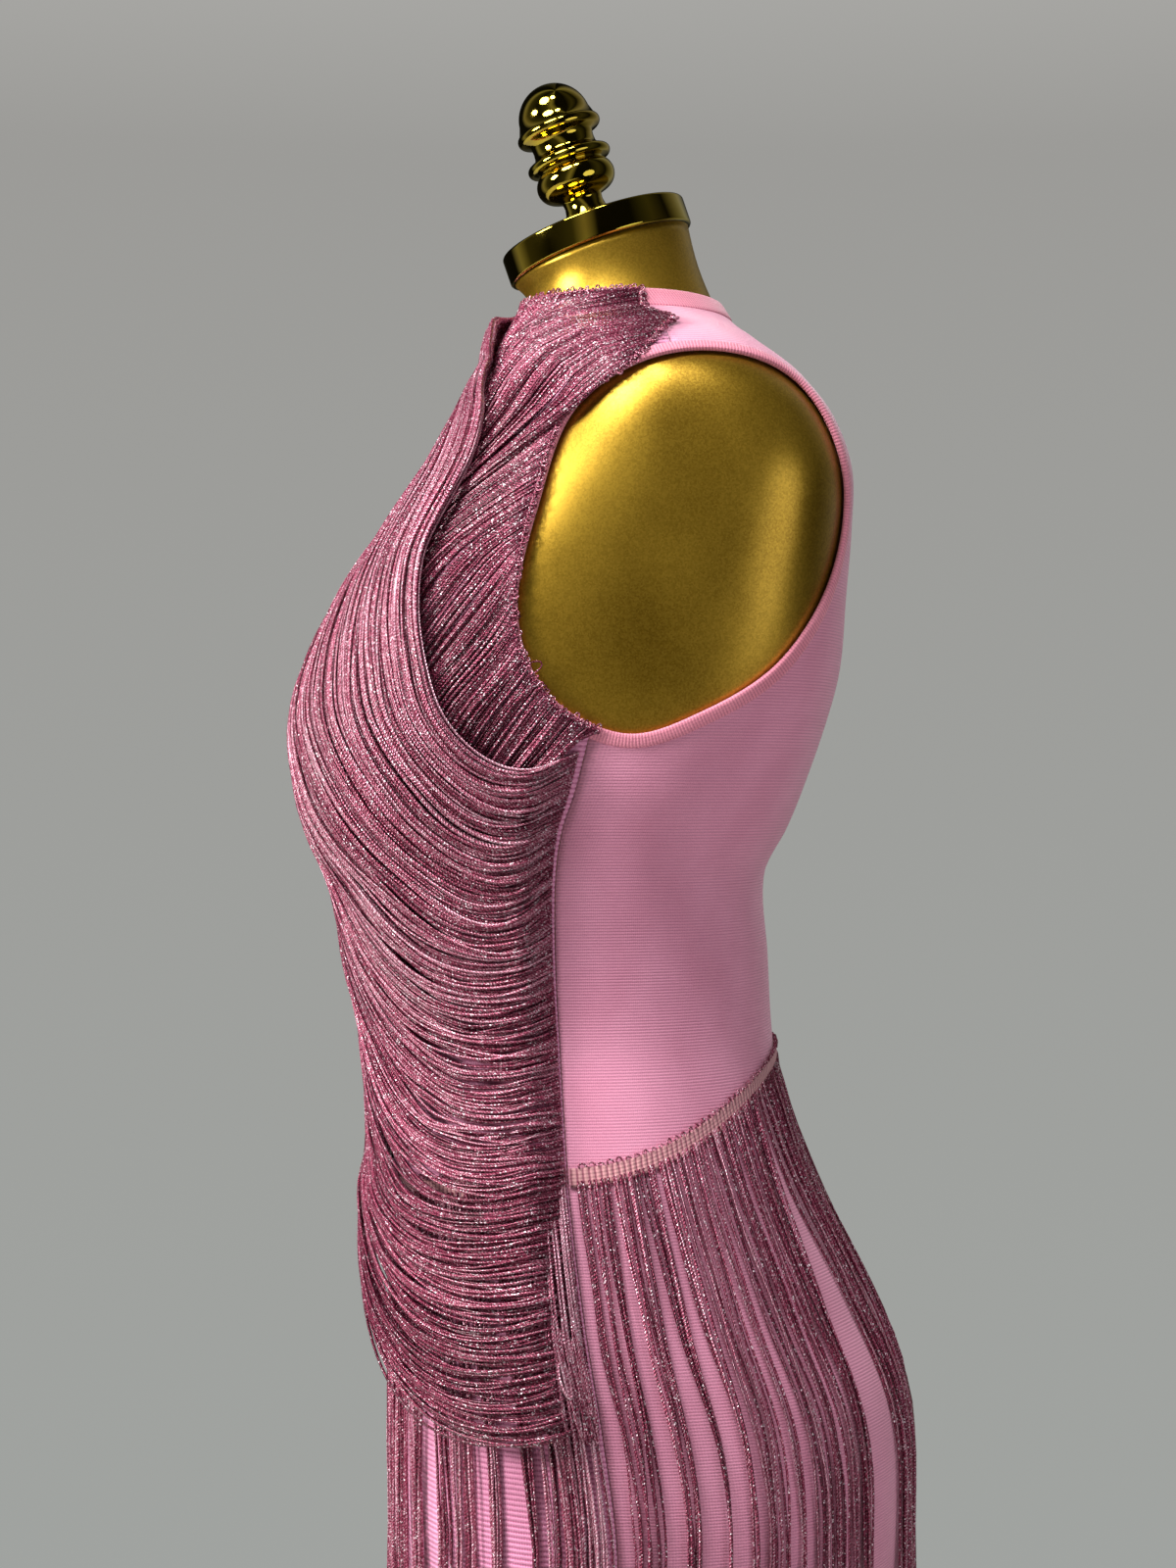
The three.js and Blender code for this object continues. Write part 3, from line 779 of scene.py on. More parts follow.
@dataclass(frozen=True)
class LurexYarn:
    """Twisted yarn of rayon and metallised film, the rayon between the film's turns dusky, with the film's glints
    painted into its colour.

    A yarn's tone, partly random and partly set per layer as painted light or shade, shifts it along a ramp from a
    painted shadow colour to a painted light one; its plies, a speckle of painted sparkle and a few near-white
    painted glints vary that.
    """

    name: str
    shadow: str
    body: str
    light: str
    # the colour of the painted glints
    painted_glint: str
    twist_pitch: float = 3.2
    flash_size: float = 0.6
    ply_share: float = 0.16
    # how far a speckle of painted sparkle lifts a yarn's tone
    painted_sparkle_share: float = 0.42

    def build(self) -> Material:
        """Makes the material."""
        surface = {"Metallic": 0.45, "Specular IOR Level": 0.5, "Coat Weight": 0.35, "Coat Roughness": 0.22}
        material, tree, shader = start_material(self.name, surface)
        tone = add_node(tree, "ShaderNodeAttribute", {"attribute_name": "tone"}).outputs["Fac"]
        parts = add_node(tree, "ShaderNodeSeparateXYZ", None, None, {"Vector": cloth_place(tree)})
        turns = add_share(tree, parts.outputs["Y"], 1 / (self.twist_pitch * MM), parts.outputs["X"])
        angle = add_node(tree, "ShaderNodeMath", {"operation": "MULTIPLY"}, {1: 4 * math.pi}, {0: turns})
        plies = add_node(tree, "ShaderNodeMath", {"operation": "SINE"}, None, {0: angle.outputs[0]}).outputs[0]
        chance = add_cells(tree, 1 / (self.flash_size * MM))
        twisted = add_share(tree, plies, self.ply_share, tone)
        # painted sparkle: each small cell lifts the yarn's tone by a random amount
        mixed = add_share(tree, chance["Green"], self.painted_sparkle_share, twisted)
        # the ramp paints each yarn from a shadow colour through its body colour to a lit colour
        yarn = add_ramp(tree, mixed, [(0.12, self.shadow), (0.6, self.body), (1.0, self.light)])
        # painted glints: a few small cells are painted near white
        painted_glint_mask = add_ramp(tree, chance["Red"], [(0.91, "#000000"), (0.97, "#FFFFFF")])
        colour = add_mix(tree, {0: painted_glint_mask, 6: yarn}, {7: linear(self.painted_glint)})
        tree.links.new(colour, shader.inputs["Base Color"])
        tree.links.new(add_range(tree, chance["Blue"], 0.42, 0.2), shader.inputs["Roughness"])
        add_relief(tree, shader, add_share(tree, chance["Blue"], 0.8, plies), 0.55, 0.25)
        return material


@dataclass(frozen=True)
class HeadingTape:
    """Woven heading tape: a matt peach ground with a darker upright stitch at each strand of the fringe."""

    name: str
    ground: str
    stitch: str
    stitch_pitch: float = 2.8
    weave_pitch: float = 1.6

    def build(self) -> Material:
        """Makes the material."""
        material, tree, shader = start_material(self.name, {"Roughness": 0.75, "Sheen Weight": 0.2})
        place = cloth_place(tree)
        stitch_shape = {"Distortion": 0.8, "Detail": 1, "Detail Scale": 2}
        stitches = add_waves(tree, place, "X", self.stitch_pitch, stitch_shape)
        weave = add_waves(tree, place, "Y", self.weave_pitch, {})
        tint = add_ramp(tree, stitches, [(0.05, self.stitch), (0.45, self.ground)])
        tree.links.new(tint, shader.inputs["Base Color"])
        add_relief(tree, shader, add_share(tree, weave, 0.5, stitches), 0.8, 0.4)
        return material


@dataclass(frozen=True)
class SprayedGoldPaint:
    """Satin gold paint sprayed on moulded glass fibre: a soft wide highlight, fine orange peel and metal flake.

    Faint scuffs break the highlight where it has been rubbed.
    """

    name: str = "sprayed_gold_paint"
    dark: str = "#8C6B15"
    light: str = "#C29B31"
    scuff: str = "#6E5417"
    flakes: float = 1300  # in a metre

    def build(self) -> Material:
        """Makes the material."""
        surface = {"Metallic": 0.85, "Coat Weight": 0.12, "Coat Roughness": 0.25}
        material, tree, shader = start_material(self.name, surface)
        place = solid_place(tree)
        cloud = add_noise(tree, place, 14, 3)
        spread = add_share(tree, add_cells(tree, self.flakes)["Red"], 0.35, cloud)
        paint = add_ramp(tree, spread, [(0.3, self.dark), (0.95, self.light)])
        stretch = {"Scale": (60, 150, 26), "Rotation": (0.6, 0.2, 0.3)}
        rubbed = add_node(tree, "ShaderNodeMapping", None, stretch, {"Vector": place}).outputs[0]
        marks = add_ramp(tree, add_noise(tree, rubbed, 1, 4), [(0.74, "#000000"), (0.78, "#B0B0B0")])
        colour = add_mix(tree, {0: marks, 6: paint}, {7: linear(self.scuff)})
        tree.links.new(colour, shader.inputs["Base Color"])
        tree.links.new(add_range(tree, cloud, 0.3, 0.42), shader.inputs["Roughness"])
        add_relief(tree, shader, add_noise(tree, place, 420, 2), 0.25, 0.12)
        return material


@dataclass(frozen=True)
class PolishedGoldPlate:
    """Gold-coloured plating on turned metal: sharp reflections, a few finger smudges and fine turning lines."""

    name: str
    colour: str
    clean: float
    smudged: float
    smudge: str = "#A98A33"
    line_pitch: float = 0.9

    def build(self) -> Material:
        """Makes the material."""
        material, tree, shader = start_material(self.name, {"Metallic": 1.0})
        place = solid_place(tree)
        smudges = add_noise(tree, place, 45, 4)
        tint = add_ramp(tree, smudges, [(0.3, self.colour), (0.8, self.smudge)])
        gloss = add_range(tree, smudges, self.clean, self.smudged, 0.4, 0.75)
        tree.links.new(tint, shader.inputs["Base Color"])
        tree.links.new(gloss, shader.inputs["Roughness"])
        add_relief(tree, shader, add_waves(tree, place, "Z", self.line_pitch, {"Distortion": 0.4}), 0.04, 0.05)
        return material


@dataclass(frozen=True)
class PaleFloor:
    """Matt painted floor: plain, pale and a little uneven."""

    name: str = "pale_floor"
    dark: str = "#B3B2AF"
    light: str = "#B8B7B4"

    def build(self) -> Material:
        """Makes the material."""
        material, tree, shader = start_material(self.name, {"Roughness": 0.7})
        tint = add_ramp(tree, add_noise(tree, solid_place(tree), 30, 4), [(0.3, self.dark), (0.7, self.light)])
        tree.links.new(tint, shader.inputs["Base Color"])
        return material


class Finishes:
    """Every material of the dress, its form and its stand."""

    def __init__(self) -> None:
        """Builds each one once."""
        # Each knit's first colour is the painted highlight on its rib crests and its second the painted shade in
        # its rib hollows.
        self.front_knit = BandageKnit("front_bandage_knit", "#F3A5CA", "#BE6C90", 2.4, 0.5).build()
        self.back_knit = BandageKnit("back_bandage_knit", "#EDA2BE", "#CE85A2", 1.4, 0.16).build()
        self.rib = BandageKnit("rib_binding_knit", "#F29CB0", "#CC7890", 1.5, 0.18).build()
        # The yarn's colours: painted shadow, body, painted light and near-white painted glint.
        self.yarn = LurexYarn("rose_lurex_yarn", "#38071A", "#983053", "#EAB3C5", "#FBE8F0").build()
        self.tape = HeadingTape("peach_heading_tape", "#C98E92", "#8E4A5C").build()
        self.paint = SprayedGoldPaint().build()
        self.chrome = PolishedGoldPlate("polished_gold_plate", "#B5A038", 0.04, 0.12).build()
        self.stand = PolishedGoldPlate("brushed_gold_plate", "#B09A48", 0.27, 0.33).build()
        self.floor = PaleFloor().build()


def dress_piece(piece: Piece, material: Material, nodes: tuple = ()) -> None:
    """Gives a piece its material, its body and the nodes that it stands for.

    Args:
        piece: the piece.
        material: its finish.
        nodes: the solids that it replaces.
    """
    piece.data.materials.clear()
    piece.data.materials.append(material)
    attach(piece, "root")
    if nodes:
        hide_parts(*nodes)
    LOG.info("%s: %d faces, for %s", piece.name, len(piece.data.polygons), ", ".join(nodes) or "no solid")


# The pieces


@dataclass
class KnitPanels:
    """The front and back of the dress, with open armholes."""

    hem: float = 500
    top: float = 1424
    wall: float = 1.5
    seam_gap: float = 0.15
    tuck: float = 3.6  # how far under the binding the panels reach
    coarse: float = 4.5
    fine: float = 2.4
    fine_from: float = 1190
    measured_row: int = 60  # the row whose widths the knit's texture follows

    def heights(self) -> Array:
        """Lists the rows, closer together beside the armholes."""
        low = np.arange(self.hem, self.fine_from, self.coarse)
        return np.concatenate([low, np.arange(self.fine_from, self.top, self.fine), [self.top]])

    def panel(self, half: Half) -> Piece:
        """Makes one panel.

        Args:
            half: the front or the back.

        Returns:
            The panel.
        """
        start = half.value
        steps = np.concatenate([np.arange(0, 30, 1.0), np.arange(30, 150, 2.0), np.arange(150, 181, 1.0)])
        turns = steps + start
        turn, height = np.meshgrid(turns, self.heights())
        points = BODY.offset(turn, height, np.zeros(turn.shape))
        points[:, [0, -1], 1] += -self.seam_gap if half is Half.FRONT else self.seam_gap
        centres = (points[:-1, :-1] + points[1:, 1:]) / 2
        beside = np.abs(centres[..., 0]) > 60
        keep = ~(beside & ARMHOLE.holds(centres[..., 1], centres[..., 2], self.tuck))
        around = run_lengths(points[self.measured_row])
        places = np.stack([np.broadcast_to(around, turn.shape), height], axis=-1) * MM
        piece = make_grid(f"{half.name.lower()}_knit_panel", points[:, ::-1], places[:, ::-1], keep[:, ::-1])
        return thicken(piece, self.wall)

    def build(self, finishes: Finishes) -> dict[Half, Piece]:
        """Makes and dresses both panels.

        Args:
            finishes: the materials.

        Returns:
            The panels.
        """
        panels = {half: self.panel(half) for half in Half}
        dress_piece(panels[Half.FRONT], finishes.front_knit, ("front_panel",))
        dress_piece(panels[Half.BACK], finishes.back_knit, ("back_panel",))
        return panels


@dataclass
class KnitEdges:
    """The folded neck band and the rib bindings of the armholes."""

    band_low: float = 1423.4
    band_top: float = 1433.2
    band_half: float = 1.5
    binding_width: float = 6.6
    binding_half: float = 1.45
    round_steps: int = 14

    def section(self, half_tall: float, half_thick: float) -> Array:
        """Outlines a folded strip's section.

        Args:
            half_tall: half of its width along the skin.
            half_thick: half of its thickness.

        Returns:
            Pairs of a distance along the skin and one out from it.
        """
        angles = np.linspace(0, 2 * np.pi, self.round_steps, endpoint=False)
        tall = half_tall * signed_power(np.cos(angles), 0.45)
        return np.stack([tall, half_thick * signed_power(np.sin(angles), 0.7)], axis=-1)

    def strip_places(self, rings: Array, outline: Array) -> Array:
        """Lays texture places along a round strip.

        Args:
            rings: the strip's sections.
            outline: the outline of one section.

        Returns:
            Places, with one more row and column than the sections.
        """
        centres = rings.mean(axis=1)
        length = run_lengths(np.concatenate([centres, centres[:1]]))
        around = run_lengths(np.concatenate([outline, outline[:1]]))
        return np.stack(np.broadcast_arrays(around[None], length[:, None]), axis=-1) * MM

    def neck_band(self) -> Piece:
        """Makes the folded band that stands round the neck."""
        outline = self.section((self.band_top - self.band_low) / 2, self.band_half)
        turns = np.linspace(0, 360, 180, endpoint=False)
        middle = (self.band_top + self.band_low) / 2
        turn, tall = np.meshgrid(turns, outline[:, 0] + middle, indexing="ij")
        rings = BODY.offset(turn, tall, np.broadcast_to(outline[:, 1] - 0.5, turn.shape))
        places = self.strip_places(rings, outline)
        return make_grid("neck_band_knit", rings, places, round_rows=True, round_columns=True)

    def armhole_binding(self, side: Side) -> Piece:
        """Makes one armhole's binding.

        Args:
            side: the side that it is on.

        Returns:
            The binding.
        """
        outline = self.section(self.binding_width / 2, self.binding_half)
        stops = ARMHOLE.stops()
        rings = np.stack([stops.beside(self.binding_width / 2 + a, b - 0.35) for a, b in outline], axis=1)
        places = self.strip_places(rings, outline)
        if side is Side.RIGHT:
            rings, places = rings[:, ::-1] * side.mirror, places[:, ::-1]
        name = f"armhole_binding_knit_{side.name.lower()}"
        return make_grid(name, rings, places, round_rows=True, round_columns=True)

    def build(self, finishes: Finishes) -> list[Piece]:
        """Makes and dresses the edges.

        Args:
            finishes: the materials.

        Returns:
            The neck band and the two bindings.
        """
        band = self.neck_band()
        dress_piece(band, finishes.rib, ("neck_band",))
        bindings = [self.armhole_binding(side) for side in Side]
        for side, binding in zip(Side, bindings):
            dress_piece(binding, finishes.rib, (f"armhole_binding_{side.name.lower()}",))
        return [band, *bindings]


@dataclass(frozen=True)
class Slit:
    """A place where the swags part and the knit shows."""

    across: float
    along: float
    length: float
    opening: float
    lip: float = 0.0008  # the share of the layer over which its edges part
    give: float = 0.03  # the share of the layer that makes room for it


@dataclass
class Drape:
    """One swagged layer: yarns from a neckline, shoulder and armhole edge across to the far side seam."""

    name: str
    node: str
    side: Side
    inner: float
    rise: float
    seed: int
    yarns: int = 470
    steps: int = 62
    radius: float = 0.78
    root_out: float = 2.4
    root_lift: float = 26
    root_blend: float = 5
    length: float = 450
    end_turn: float = 179.6
    end_top: float = 1205
    end_low: float = 906
    end_crowd: float = 1.25
    fall_at: tuple = (0, 0.15, 0.4, 0.75, 1)
    fall: tuple = (2.6, 2.6, 2.7, 2.3, 1.5)  # how early a yarn has fallen, by its place in the layer
    sag: tuple = (37, 22, 9, 9, 12)  # how far it then sags below its end
    sag_late: float = 4
    bow: float = 0.86
    frame_low: float = 1290
    frame_high: float = 1372
    frame_extra: float = 50
    swag_lift: float = 4.2
    wander: float = 0.003
    ripple: float = 0.0014
    # Weight, waves over the layer, waves along a yarn and offset of each ripple
    ripples: tuple = ((1, 7, 1.3, 0), (1, 17, -2.1, 1), (0.7, 31, 1.7, 2))
    hold: tuple = (1.8, 1.25)  # how long a yarn from the neck, and one from the armhole, keeps its side
    slits: tuple[Slit, ...] = ()
    tones: tuple = (0.0, 0.4)  # how light its darkest and its lightest yarn are painted: a random spread, set low for a layer in painted shade and high for a layer painted as lit
    painted_shade_low: float = 0.0  # how much painted shade darkens its lowest yarns

    def frame_width(self, height: Array) -> Array:
        """Gives the half width that a yarn turns about, wider where the shoulder faces forwards."""
        width = BODY.column("half_width", np.minimum(height, self.frame_high))
        return width + self.frame_extra * smooth_step(height, self.frame_low, self.frame_high)

    def paths(self) -> tuple[Array, Array]:
        """Lays every yarn.

        Returns:
            The yarns' points and the cloth's outward direction at each.
        """
        rng = np.random.default_rng(self.seed)
        count = self.yarns
        order = (np.arange(count) + 0.5 + rng.uniform(-0.9, 0.9, count)) / count
        across = np.clip(order, 0.001, 0.999)[:, None]
        along = np.linspace(0, 1, self.steps)[None] ** 1.15
        reach = along * self.length
        phase = rng.uniform(0, 2 * np.pi, (3, count, 1))
        pace = rng.uniform(1.2, 3.4, (3, count, 1))
        waves = np.sin(2 * np.pi * pace * along + phase)
        held = smooth_step(along, 0.02, 0.2) * (1 - smooth_step(along, 0.9, 1.0))
        ripple = sum(
            weight * np.sin(2 * np.pi * (over_layer * across + down_yarn * along) + offset)
            for weight, over_layer, down_yarn, offset in self.ripples
        )
        shift = (self.wander * (0.7 * waves[0] + 0.3 * waves[1]) + self.ripple * ripple) * held
        for slit in self.slits:
            window = np.exp(-(((along - slit.along) / slit.length) ** 2))
            away = across - slit.across
            parted = slit.opening * np.tanh(away / slit.lip) * np.exp(-((away / slit.give) ** 2))
            shift = shift + parted * window
        root = root_line().at(across[:, 0])
        start = root.beside(1.0, 0.0)[:, None]
        aside = start[..., 0] / self.frame_width(start[..., 2])
        start_turn = np.degrees(np.arccos(signed_power(aside, 1 / self.bow)))
        place = np.clip(across + shift, 0, 1)
        end_height = self.end_top + (self.end_low - self.end_top) * place**self.end_crowd
        sag = np.interp(place, self.fall_at, self.sag) + rng.normal(0, 2.2, (count, 1))
        fall = np.interp(across, self.fall_at, self.fall) * (1 + rng.normal(0, 0.03, (count, 1)))
        peak = (self.sag_late / (self.sag_late + 1)) ** self.sag_late / (self.sag_late + 1)
        droop = along**self.sag_late * (1 - along) / peak
        top = start[..., 2] + shift * 60
        height = end_height + (top - end_height) * (1 - along) ** fall - sag * droop
        late = self.hold[0] + (self.hold[1] - self.hold[0]) * smooth_step(across, 0.15, 0.5)
        turn = start_turn + (self.end_turn - start_turn) * along**late
        x = self.frame_width(height) * signed_power(np.cos(np.radians(turn)), self.bow)
        lift = smooth_step(reach, 0, self.root_lift)
        over = smooth_step(tape_top(turn) + 12 - height, 0, 24) * smooth_step(along, 0.02, 0.1)
        depth = rng.uniform(0, 1, (count, 1)) * self.rise + 0.5 * waves[2] * held
        out = self.root_out + (self.inner + depth - self.root_out) * lift + self.swag_lift * over
        seam = smooth_step(along, 0.95, 1.0)
        out = out + (1.2 + 0.35 * depth - out) * seam
        skin_turn = BODY.turn_at_x(x, height)
        free = BODY.offset(skin_turn, height, out)
        held_in = start + root.normal[:, None] * out[..., None]
        blend = smooth_step(reach, 0, self.root_blend)[..., None]
        points = held_in + (free - held_in) * blend
        outward = BODY.normal(skin_turn, height)
        return points * self.side.mirror, outward * self.side.mirror

    def build(self, finishes: Finishes) -> Piece:
        """Makes and dresses the layer.

        Args:
            finishes: the materials.

        Returns:
            The layer.
        """
        points, outward = self.paths()
        rng = np.random.default_rng(self.seed + 1)
        radii = self.radius * rng.uniform(*YARN_SIZES, self.yarns)
        # painted shade: the yarns that end lowest are painted darker
        darker = 1 - self.painted_shade_low * np.linspace(0, 1, self.yarns)
        tones = rng.uniform(*self.tones, self.yarns) * darker
        piece = make_yarns(self.name, points, outward, radii, tones)
        dress_piece(piece, finishes.yarn, (self.node,))
        return piece


@dataclass
class DrapeHeading:
    """The heading of a drape: a thin twisted cord, and the small uneven loops of yarn that stand along it."""

    radius: float = 0.55
    out: float = 2.1
    plies: int = 2
    pitch: float = 5.5
    loop_pitch: float = 2.2
    loop_wide: float = 1.0
    loop_tall: float = 2.3
    loop_radius: float = 0.48
    loop_span: tuple = (-35, 215)  # the part of a ring that a loop is, in degrees
    loop_scale: tuple = (0.6, 1.35)
    loop_tones: tuple = (0.1, 0.6)
    cord_tone: float = 0.3
    seed: int = 61
    snag_height: float = 1243  # where a pulled thread stands out as a larger loop
    snag_scale: float = 2.6

    def cord(self, side: Side, finishes: Finishes) -> Piece:
        """Makes and dresses the cord.

        Args:
            side: the side that it is on.
            finishes: the materials.

        Returns:
            The cord.
        """
        line = root_line().at(np.linspace(0, 1, 260))
        spine = line.beside(0.6, self.out)
        lengths = run_lengths(spine)
        paths = []
        for ply in range(self.plies):
            angle = (2 * np.pi * (lengths / self.pitch + ply / self.plies))[:, None]
            swing = line.across * np.cos(angle) + line.normal * np.sin(angle)
            paths.append((spine + swing * self.radius) * side.mirror)
        outward = np.stack([line.normal * side.mirror] * self.plies)
        sizes = np.full(self.plies, self.radius)
        tones = np.full(self.plies, self.cord_tone)
        piece = make_yarns(f"drape_heading_{side.name.lower()}", np.stack(paths), outward, sizes, tones, 5)
        dress_piece(piece, finishes.yarn)
        return piece

    def loops(self, side: Side, finishes: Finishes) -> Piece:
        """Makes and dresses the loops.

        Args:
            side: the side that they are on.
            finishes: the materials.

        Returns:
            The loops.
        """
        rng = np.random.default_rng(self.seed + side.value)
        root = root_line()
        length = np.linalg.norm(np.diff(root.here, axis=0), axis=1).sum()
        count = int(length / self.loop_pitch)
        place = root.at((np.arange(count) + rng.uniform(0.2, 0.8, count)) / count)
        scale = rng.uniform(*self.loop_scale, count)
        scale[np.argmin(np.abs(place.here[:, 2] - self.snag_height))] = self.snag_scale
        angles = np.radians(np.linspace(*self.loop_span, 10))
        run = unit(np.cross(place.normal, place.across))
        wide = np.cos(angles)[None] * self.loop_wide * scale[:, None]
        tall = 0.9 - self.loop_tall * (np.sin(angles)[None] + 0.2) * scale[:, None]
        out = self.out + rng.uniform(-0.5, 0.5, (count, 1)) + 0.4 * np.cos(angles)[None]
        spread = Stop(place.here[:, None], place.normal[:, None], place.across[:, None])
        points = spread.beside(tall, out) + run[:, None] * wide[..., None]
        outward = np.broadcast_to(place.normal[:, None], points.shape) * side.mirror
        sizes = np.full(count, self.loop_radius)
        name = f"drape_heading_loops_{side.name.lower()}"
        tones = rng.uniform(*self.loop_tones, count)
        piece = make_yarns(name, points * side.mirror, outward, sizes, tones)
        dress_piece(piece, finishes.yarn)
        return piece

    def build(self, side: Side, finishes: Finishes) -> list[Piece]:
        """Makes and dresses one heading.

        Args:
            side: the side that it is on.
            finishes: the materials.

        Returns:
            The cord and its loops.
        """
        return [self.cord(side, finishes), self.loops(side, finishes)]


@dataclass(frozen=True)
class Clump:
    """Strands that have drawn together low on the skirt, by the turns where they start and end there."""

    start: float
    end: float


# The left half of the skirt's fringe, from the centre front round the side to the centre back.
FRONT_CLUMPS = (
    Clump(3.8, 7.0),
    Clump(8.3, 12.7),
    Clump(14.8, 16.7),
    Clump(24.5, 26.2),
    Clump(31.0, 44.0),
    Clump(49.8, 55.5),
    Clump(57.8, 70.0),
    Clump(72.5, 82.0),
    Clump(84.0, 90.0),
)
BACK_CLUMPS = (
    Clump(0.8, 5.7),
    Clump(8.3, 11.2),
    Clump(15.4, 16.4),
    Clump(20.0, 21.0),
    Clump(22.5, 27.5),
    Clump(29.7, 31.5),
    Clump(33.3, 42.2),
    Clump(43.5, 45.5),
    Clump(46.6, 49.5),
    Clump(63.0, 74.0),
    Clump(76.0, 82.0),
    Clump(84.5, 90.0),
)


@dataclass
class SkirtFringe:
    """A heading tape round half of the waist, with the fringe that hangs from it."""

    half: Half
    seed: int
    yarns: int = 204
    steps: int = 26
    radius: float = 0.8
    tape_tall: float = 8
    tape_wall: float = 1.1
    tape_out: float = 1.5
    hang: float = 848
    end: float = 508
    end_uneven: float = 7
    inner: float = 1.3
    rise: float = 2.4
    gather_over: float = 190
    yarn_turn: float = 0.4  # half a yarn's width, in degrees round the hips
    loop_pitch: float = 4.3
    loop_tall: float = 2.0
    loop_radius: float = 0.55
    loop_tones: tuple = (0.2, 0.6)
    tones: tuple = (0.05, 0.62)

    def heading(self) -> Piece:
        """Makes the heading tape."""
        turns = np.linspace(self.half.value + 0.2, self.half.value + 179.8, 150)
        across = np.linspace(0, 1, 6)
        turn, share = np.meshgrid(turns, across)
        height = tape_top(turn) - self.tape_tall * (1 - share)
        points = BODY.offset(turn, height, np.full(turn.shape, self.tape_out))
        around = run_lengths(points[2])
        places = np.stack([np.broadcast_to(around, turn.shape), share * self.tape_tall], axis=-1) * MM
        piece = make_grid(f"heading_tape_{self.half.name.lower()}", points[:, ::-1], places[:, ::-1])
        return thicken(piece, self.tape_wall)

    def end_turns(self, roots: Array, rng: np.random.Generator) -> Array:
        """Draws the strands together into clumps.

        Args:
            roots: each strand's turn at the tape, from 0 to 180.
            rng: the source of small differences.

        Returns:
            Each strand's turn low on the skirt.
        """
        clumps = FRONT_CLUMPS if self.half is Half.FRONT else BACK_CLUMPS
        mirrored = [Clump(180 - c.end, 180 - c.start) for c in reversed(clumps)]
        starts = np.array([c.start for c in (*clumps, *mirrored)])
        ends = np.array([c.end for c in (*clumps, *mirrored)])
        lean = rng.uniform(-0.8, 0.8, len(mirrored))
        starts[len(clumps) :] += lean
        ends[len(clumps) :] += lean
        edges = np.concatenate([[0], (ends[:-1] + starts[1:]) / 2, [180]])
        i = np.clip(np.searchsorted(edges, roots, side="right") - 1, 0, len(starts) - 1)
        share = (roots - edges[i]) / (edges[i + 1] - edges[i])
        half = np.maximum((ends - starts) / 2 - self.yarn_turn, 0.15)
        return np.clip((starts + ends)[i] / 2 + half[i] * (2 * share - 1), 0.8, 179.2)

    def paths(self) -> tuple[Array, Array]:
        """Lays every strand.

        Returns:
            The strands' points and the cloth's outward direction at each.
        """
        rng = np.random.default_rng(self.seed)
        count = self.yarns
        order = (np.arange(count) + 0.5 + rng.uniform(-0.4, 0.4, count)) / count
        fine = np.linspace(1.0, 179.0, 400)
        hip = BODY.point(fine + self.half.value, np.full(400, 905.0))
        lengths = run_lengths(hip)
        roots = np.interp(order * lengths[-1], lengths, fine)
        if self.half is Half.BACK:
            drawn = 180 - self.end_turns(180 - roots, rng)
        else:
            drawn = self.end_turns(roots, rng)
        drawn = np.clip(drawn + rng.normal(0, 0.16, count), 0.8, 179.2)
        roots, drawn = roots + self.half.value, drawn + self.half.value
        root = tape_top(roots) - self.tape_tall + 2.5
        upper = np.linspace(0, 1, self.steps - 7)[None] ** 1.1
        height = root[:, None] + (self.hang - root[:, None]) * upper
        fall = np.linspace(0, 1, 8)[None, 1:]
        end = self.end + rng.normal(0, self.end_uneven, count)[:, None]
        height = np.concatenate([height, self.hang + (end - self.hang) * fall], axis=1)
        drop = root[:, None] - height
        gather = 1 - (1 - np.clip(drop / self.gather_over, 0, 1)) ** 1.6
        turn = roots[:, None] + (drawn - roots)[:, None] * gather
        phase = rng.uniform(0, 2 * np.pi, (2, count, 1))
        pace = rng.uniform(70, 150, (2, count, 1))
        sway = np.sin(2 * np.pi * drop / pace + phase) * smooth_step(drop, 5, 60)
        turn = turn + 0.22 * sway[0]
        depth = rng.uniform(0, 1, (count, 1)) * self.rise + 0.45 * sway[1]
        out = 1.4 + (self.inner + depth - 1.4) * smooth_step(drop, 0, 22)
        at = np.maximum(height, self.hang)
        points = BODY.offset(turn, at, out)
        points[..., 2] += height - at
        return points, BODY.normal(turn, at)

    def loops(self) -> tuple[Array, Array]:
        """Lays the small loops that stand along the tape's upper edge.

        Returns:
            Their points and the cloth's outward direction at each.
        """
        fine = np.linspace(self.half.value + 1, self.half.value + 179, 500)
        line = BODY.point(fine, tape_top(fine))
        lengths = run_lengths(line)
        count = int(lengths[-1] / self.loop_pitch)
        centres = np.interp((np.arange(count) + 0.5) * self.loop_pitch, lengths, fine)
        per_turn = (fine[-1] - fine[0]) / lengths[-1]
        angles = np.radians(np.linspace(-20, 200, 8))[None]
        turn = centres[:, None] + np.cos(angles) * 1.5 * per_turn
        scale = np.random.default_rng(self.seed + 2).uniform(0.45, 1.15, (count, 1))
        tall = tape_top(centres)[:, None] + self.loop_tall * scale * (np.sin(angles) + 0.1)
        out = 1.6 + 0.5 * np.cos(angles) * np.ones((count, 1))
        return BODY.offset(turn, tall, out), BODY.normal(turn, tall)

